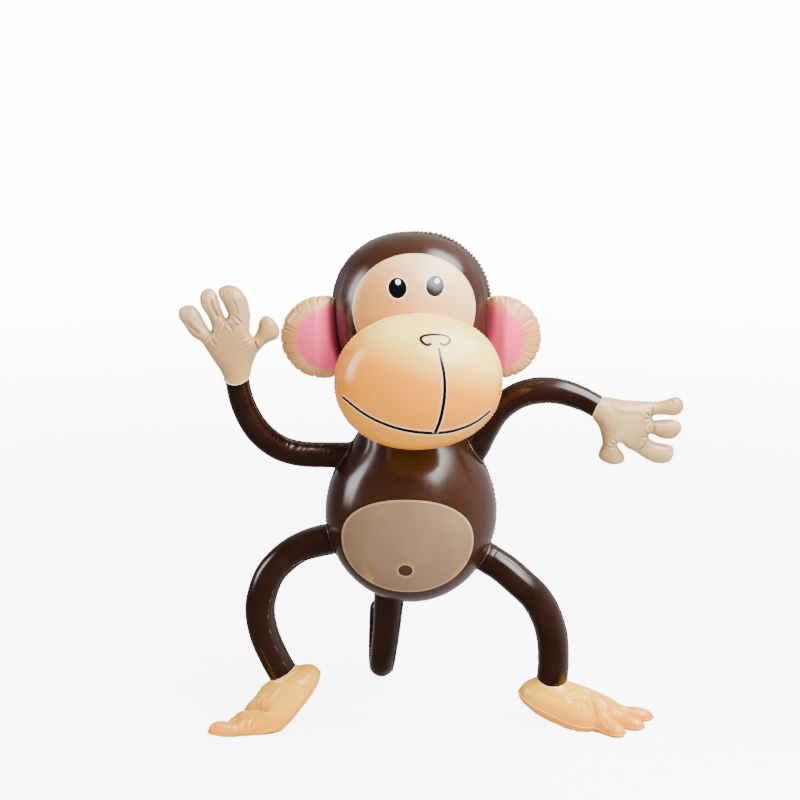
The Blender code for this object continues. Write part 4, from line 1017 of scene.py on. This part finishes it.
def standing(name, data, azimuth, elevation, distance, aim, lean=0):
    # an object that looks at its aim from the distance, by the sine and cosine of its two angles
    item = bpy.data.objects.new(name, data)
    bpy.context.scene.collection.objects.link(item)
    aim, a, e = Vector(aim), math.radians(azimuth), math.radians(elevation)
    item.location = aim + distance * Vector((math.sin(a) * math.cos(e), -math.cos(a) * math.cos(e), math.sin(e)))
    turned = (aim - item.location).to_track_quat("-Z", "Y")
    item.rotation_euler = (turned @ Quaternion((0, 0, 1), math.radians(lean))).to_euler()
    return item


def makeLight(name, stand, colour="glint", lean=0, soft=None, aim=studio["aim"]):
    # an area light with a given radiance; soft fades its width and height towards the rim
    azimuth, elevation, distance, wide, tall, glow = stand
    data = bpy.data.lights.new(name, "AREA")
    data.shape, data.size, data.size_y = "RECTANGLE", wide, tall
    data.energy, data.color = 4 * wide * tall * glow, linearColour(colour)[:3]
    if soft:
        data.use_nodes = True
        tree = data.node_tree
        spot = addNode(tree, "NewGeometry").outputs["Parametric"]
        spot = addNode(tree, "SeparateXYZ", {0: spot}).outputs
        glowing = 1.0
        for axis, rim in zip("XY", soft):
            offset = addNode(tree, "Math", {0: spot[axis], 1: 0.5}, operation="SUBTRACT").outputs[0]
            size = addNode(tree, "Math", {0: offset}, operation="ABSOLUTE").outputs[0]
            share = addNode(tree, "MapRange", {0: size, 1: 0.5 - 0.5 * rim, 2: 0.5, 3: 1.0, 4: 0.0},
                            interpolation_type="SMOOTHSTEP").outputs[0]
            glowing = addNode(tree, "Math", {0: share, 1: glowing}, operation="MULTIPLY").outputs[0]
        tree.links.new(glowing, tree.nodes["Emission"].inputs["Strength"])
    light = standing(name, data, azimuth, elevation, distance, aim, lean)
    light.visible_glossy, light.visible_camera = bool(soft), False


def makeStudio():
    # a pale floor that curves up into a wall all round, as one turned profile, and a room that is brighter
    # behind and to the right
    paper = bpy.data.materials.new("white background paper")  # matt, and lit so that it shows as plain white
    paper.use_nodes = True
    tree = paper.node_tree
    shader = tree.nodes["Principled BSDF"].inputs
    shader["Base Color"].default_value, shader["Emission Color"].default_value = linearColour("paper"), [1.0] * 4
    shader["Roughness"].default_value, shader["Specular IOR Level"].default_value = 0.8, 0.1
    place = addNode(tree, "TexCoord").outputs["Object"]
    far = addNode(tree, "VectorMath", {0: place}, operation="LENGTH").outputs["Value"]
    low, high = studio["paperGlow"]
    glow = addNode(tree, "MapRange", {0: far, 1: 0.7, 2: 4.5, 3: low, 4: high}, interpolation_type="SMOOTHSTEP")
    tree.links.new(glow.outputs[0], shader["Emission Strength"])
    angle, turn = fullTurn(96), np.linspace(0, pi / 2, 20)
    bend, wall = studio["bend"], studio["wall"]
    curve = joined(wall - bend + bend * np.sin(turn), bend - bend * np.cos(turn))
    radius, height = np.vstack([[(0.001, 0)], curve, [(wall, studio["wallTop"])]]).T[..., None]
    points = joined(radius * np.cos(angle), radius * np.sin(angle), height)
    number = np.arange(radius.size * angle.size).reshape(-1, angle.size)
    ahead = np.roll(number, -1, axis=1)
    quads = joined(number[:-1], ahead[:-1], ahead[1:], number[1:]).reshape(-1, 4)
    mesh = bpy.data.meshes.new("backdrop")
    mesh.from_pydata(points.reshape(-1, 3).tolist(), [], quads[:, ::-1].tolist())
    mesh.shade_smooth()
    mesh.materials.append(paper)
    sheet = bpy.data.objects.new("backdrop", mesh)
    bpy.context.scene.collection.objects.link(sheet)
    sheet.visible_glossy = sheet.visible_diffuse = False
    world = bpy.data.worlds.new("studio")
    bpy.context.scene.world = world
    world.use_nodes = True
    tree = world.node_tree
    low, high = studio["roomGlow"]
    towards = addNode(tree, "TexCoord").outputs["Generated"]
    bright = addNode(tree, "VectorMath", {0: towards, 1: studio["roomSide"]}, operation="DOT_PRODUCT").outputs["Value"]
    glow = addNode(tree, "MapRange", {0: bright, 1: -0.3, 2: 1.0, 3: low, 4: high}, interpolation_type="SMOOTHSTEP")
    tree.nodes["Background"].inputs[0].default_value = [1.0] * 4
    tree.links.new(glow.outputs[0], tree.nodes["Background"].inputs[1])


data = bpy.data.cameras.new("camera")
data.lens, data.sensor_width, data.clip_end = view["lens"], 36.0, 60.0
bpy.context.scene.camera = standing("camera", data, 0, view["elevation"], view["distance"], view["target"])
makeStudio()
for name, light in lights.items():
    makeLight(name, **light)
print("camera, light and floor made")
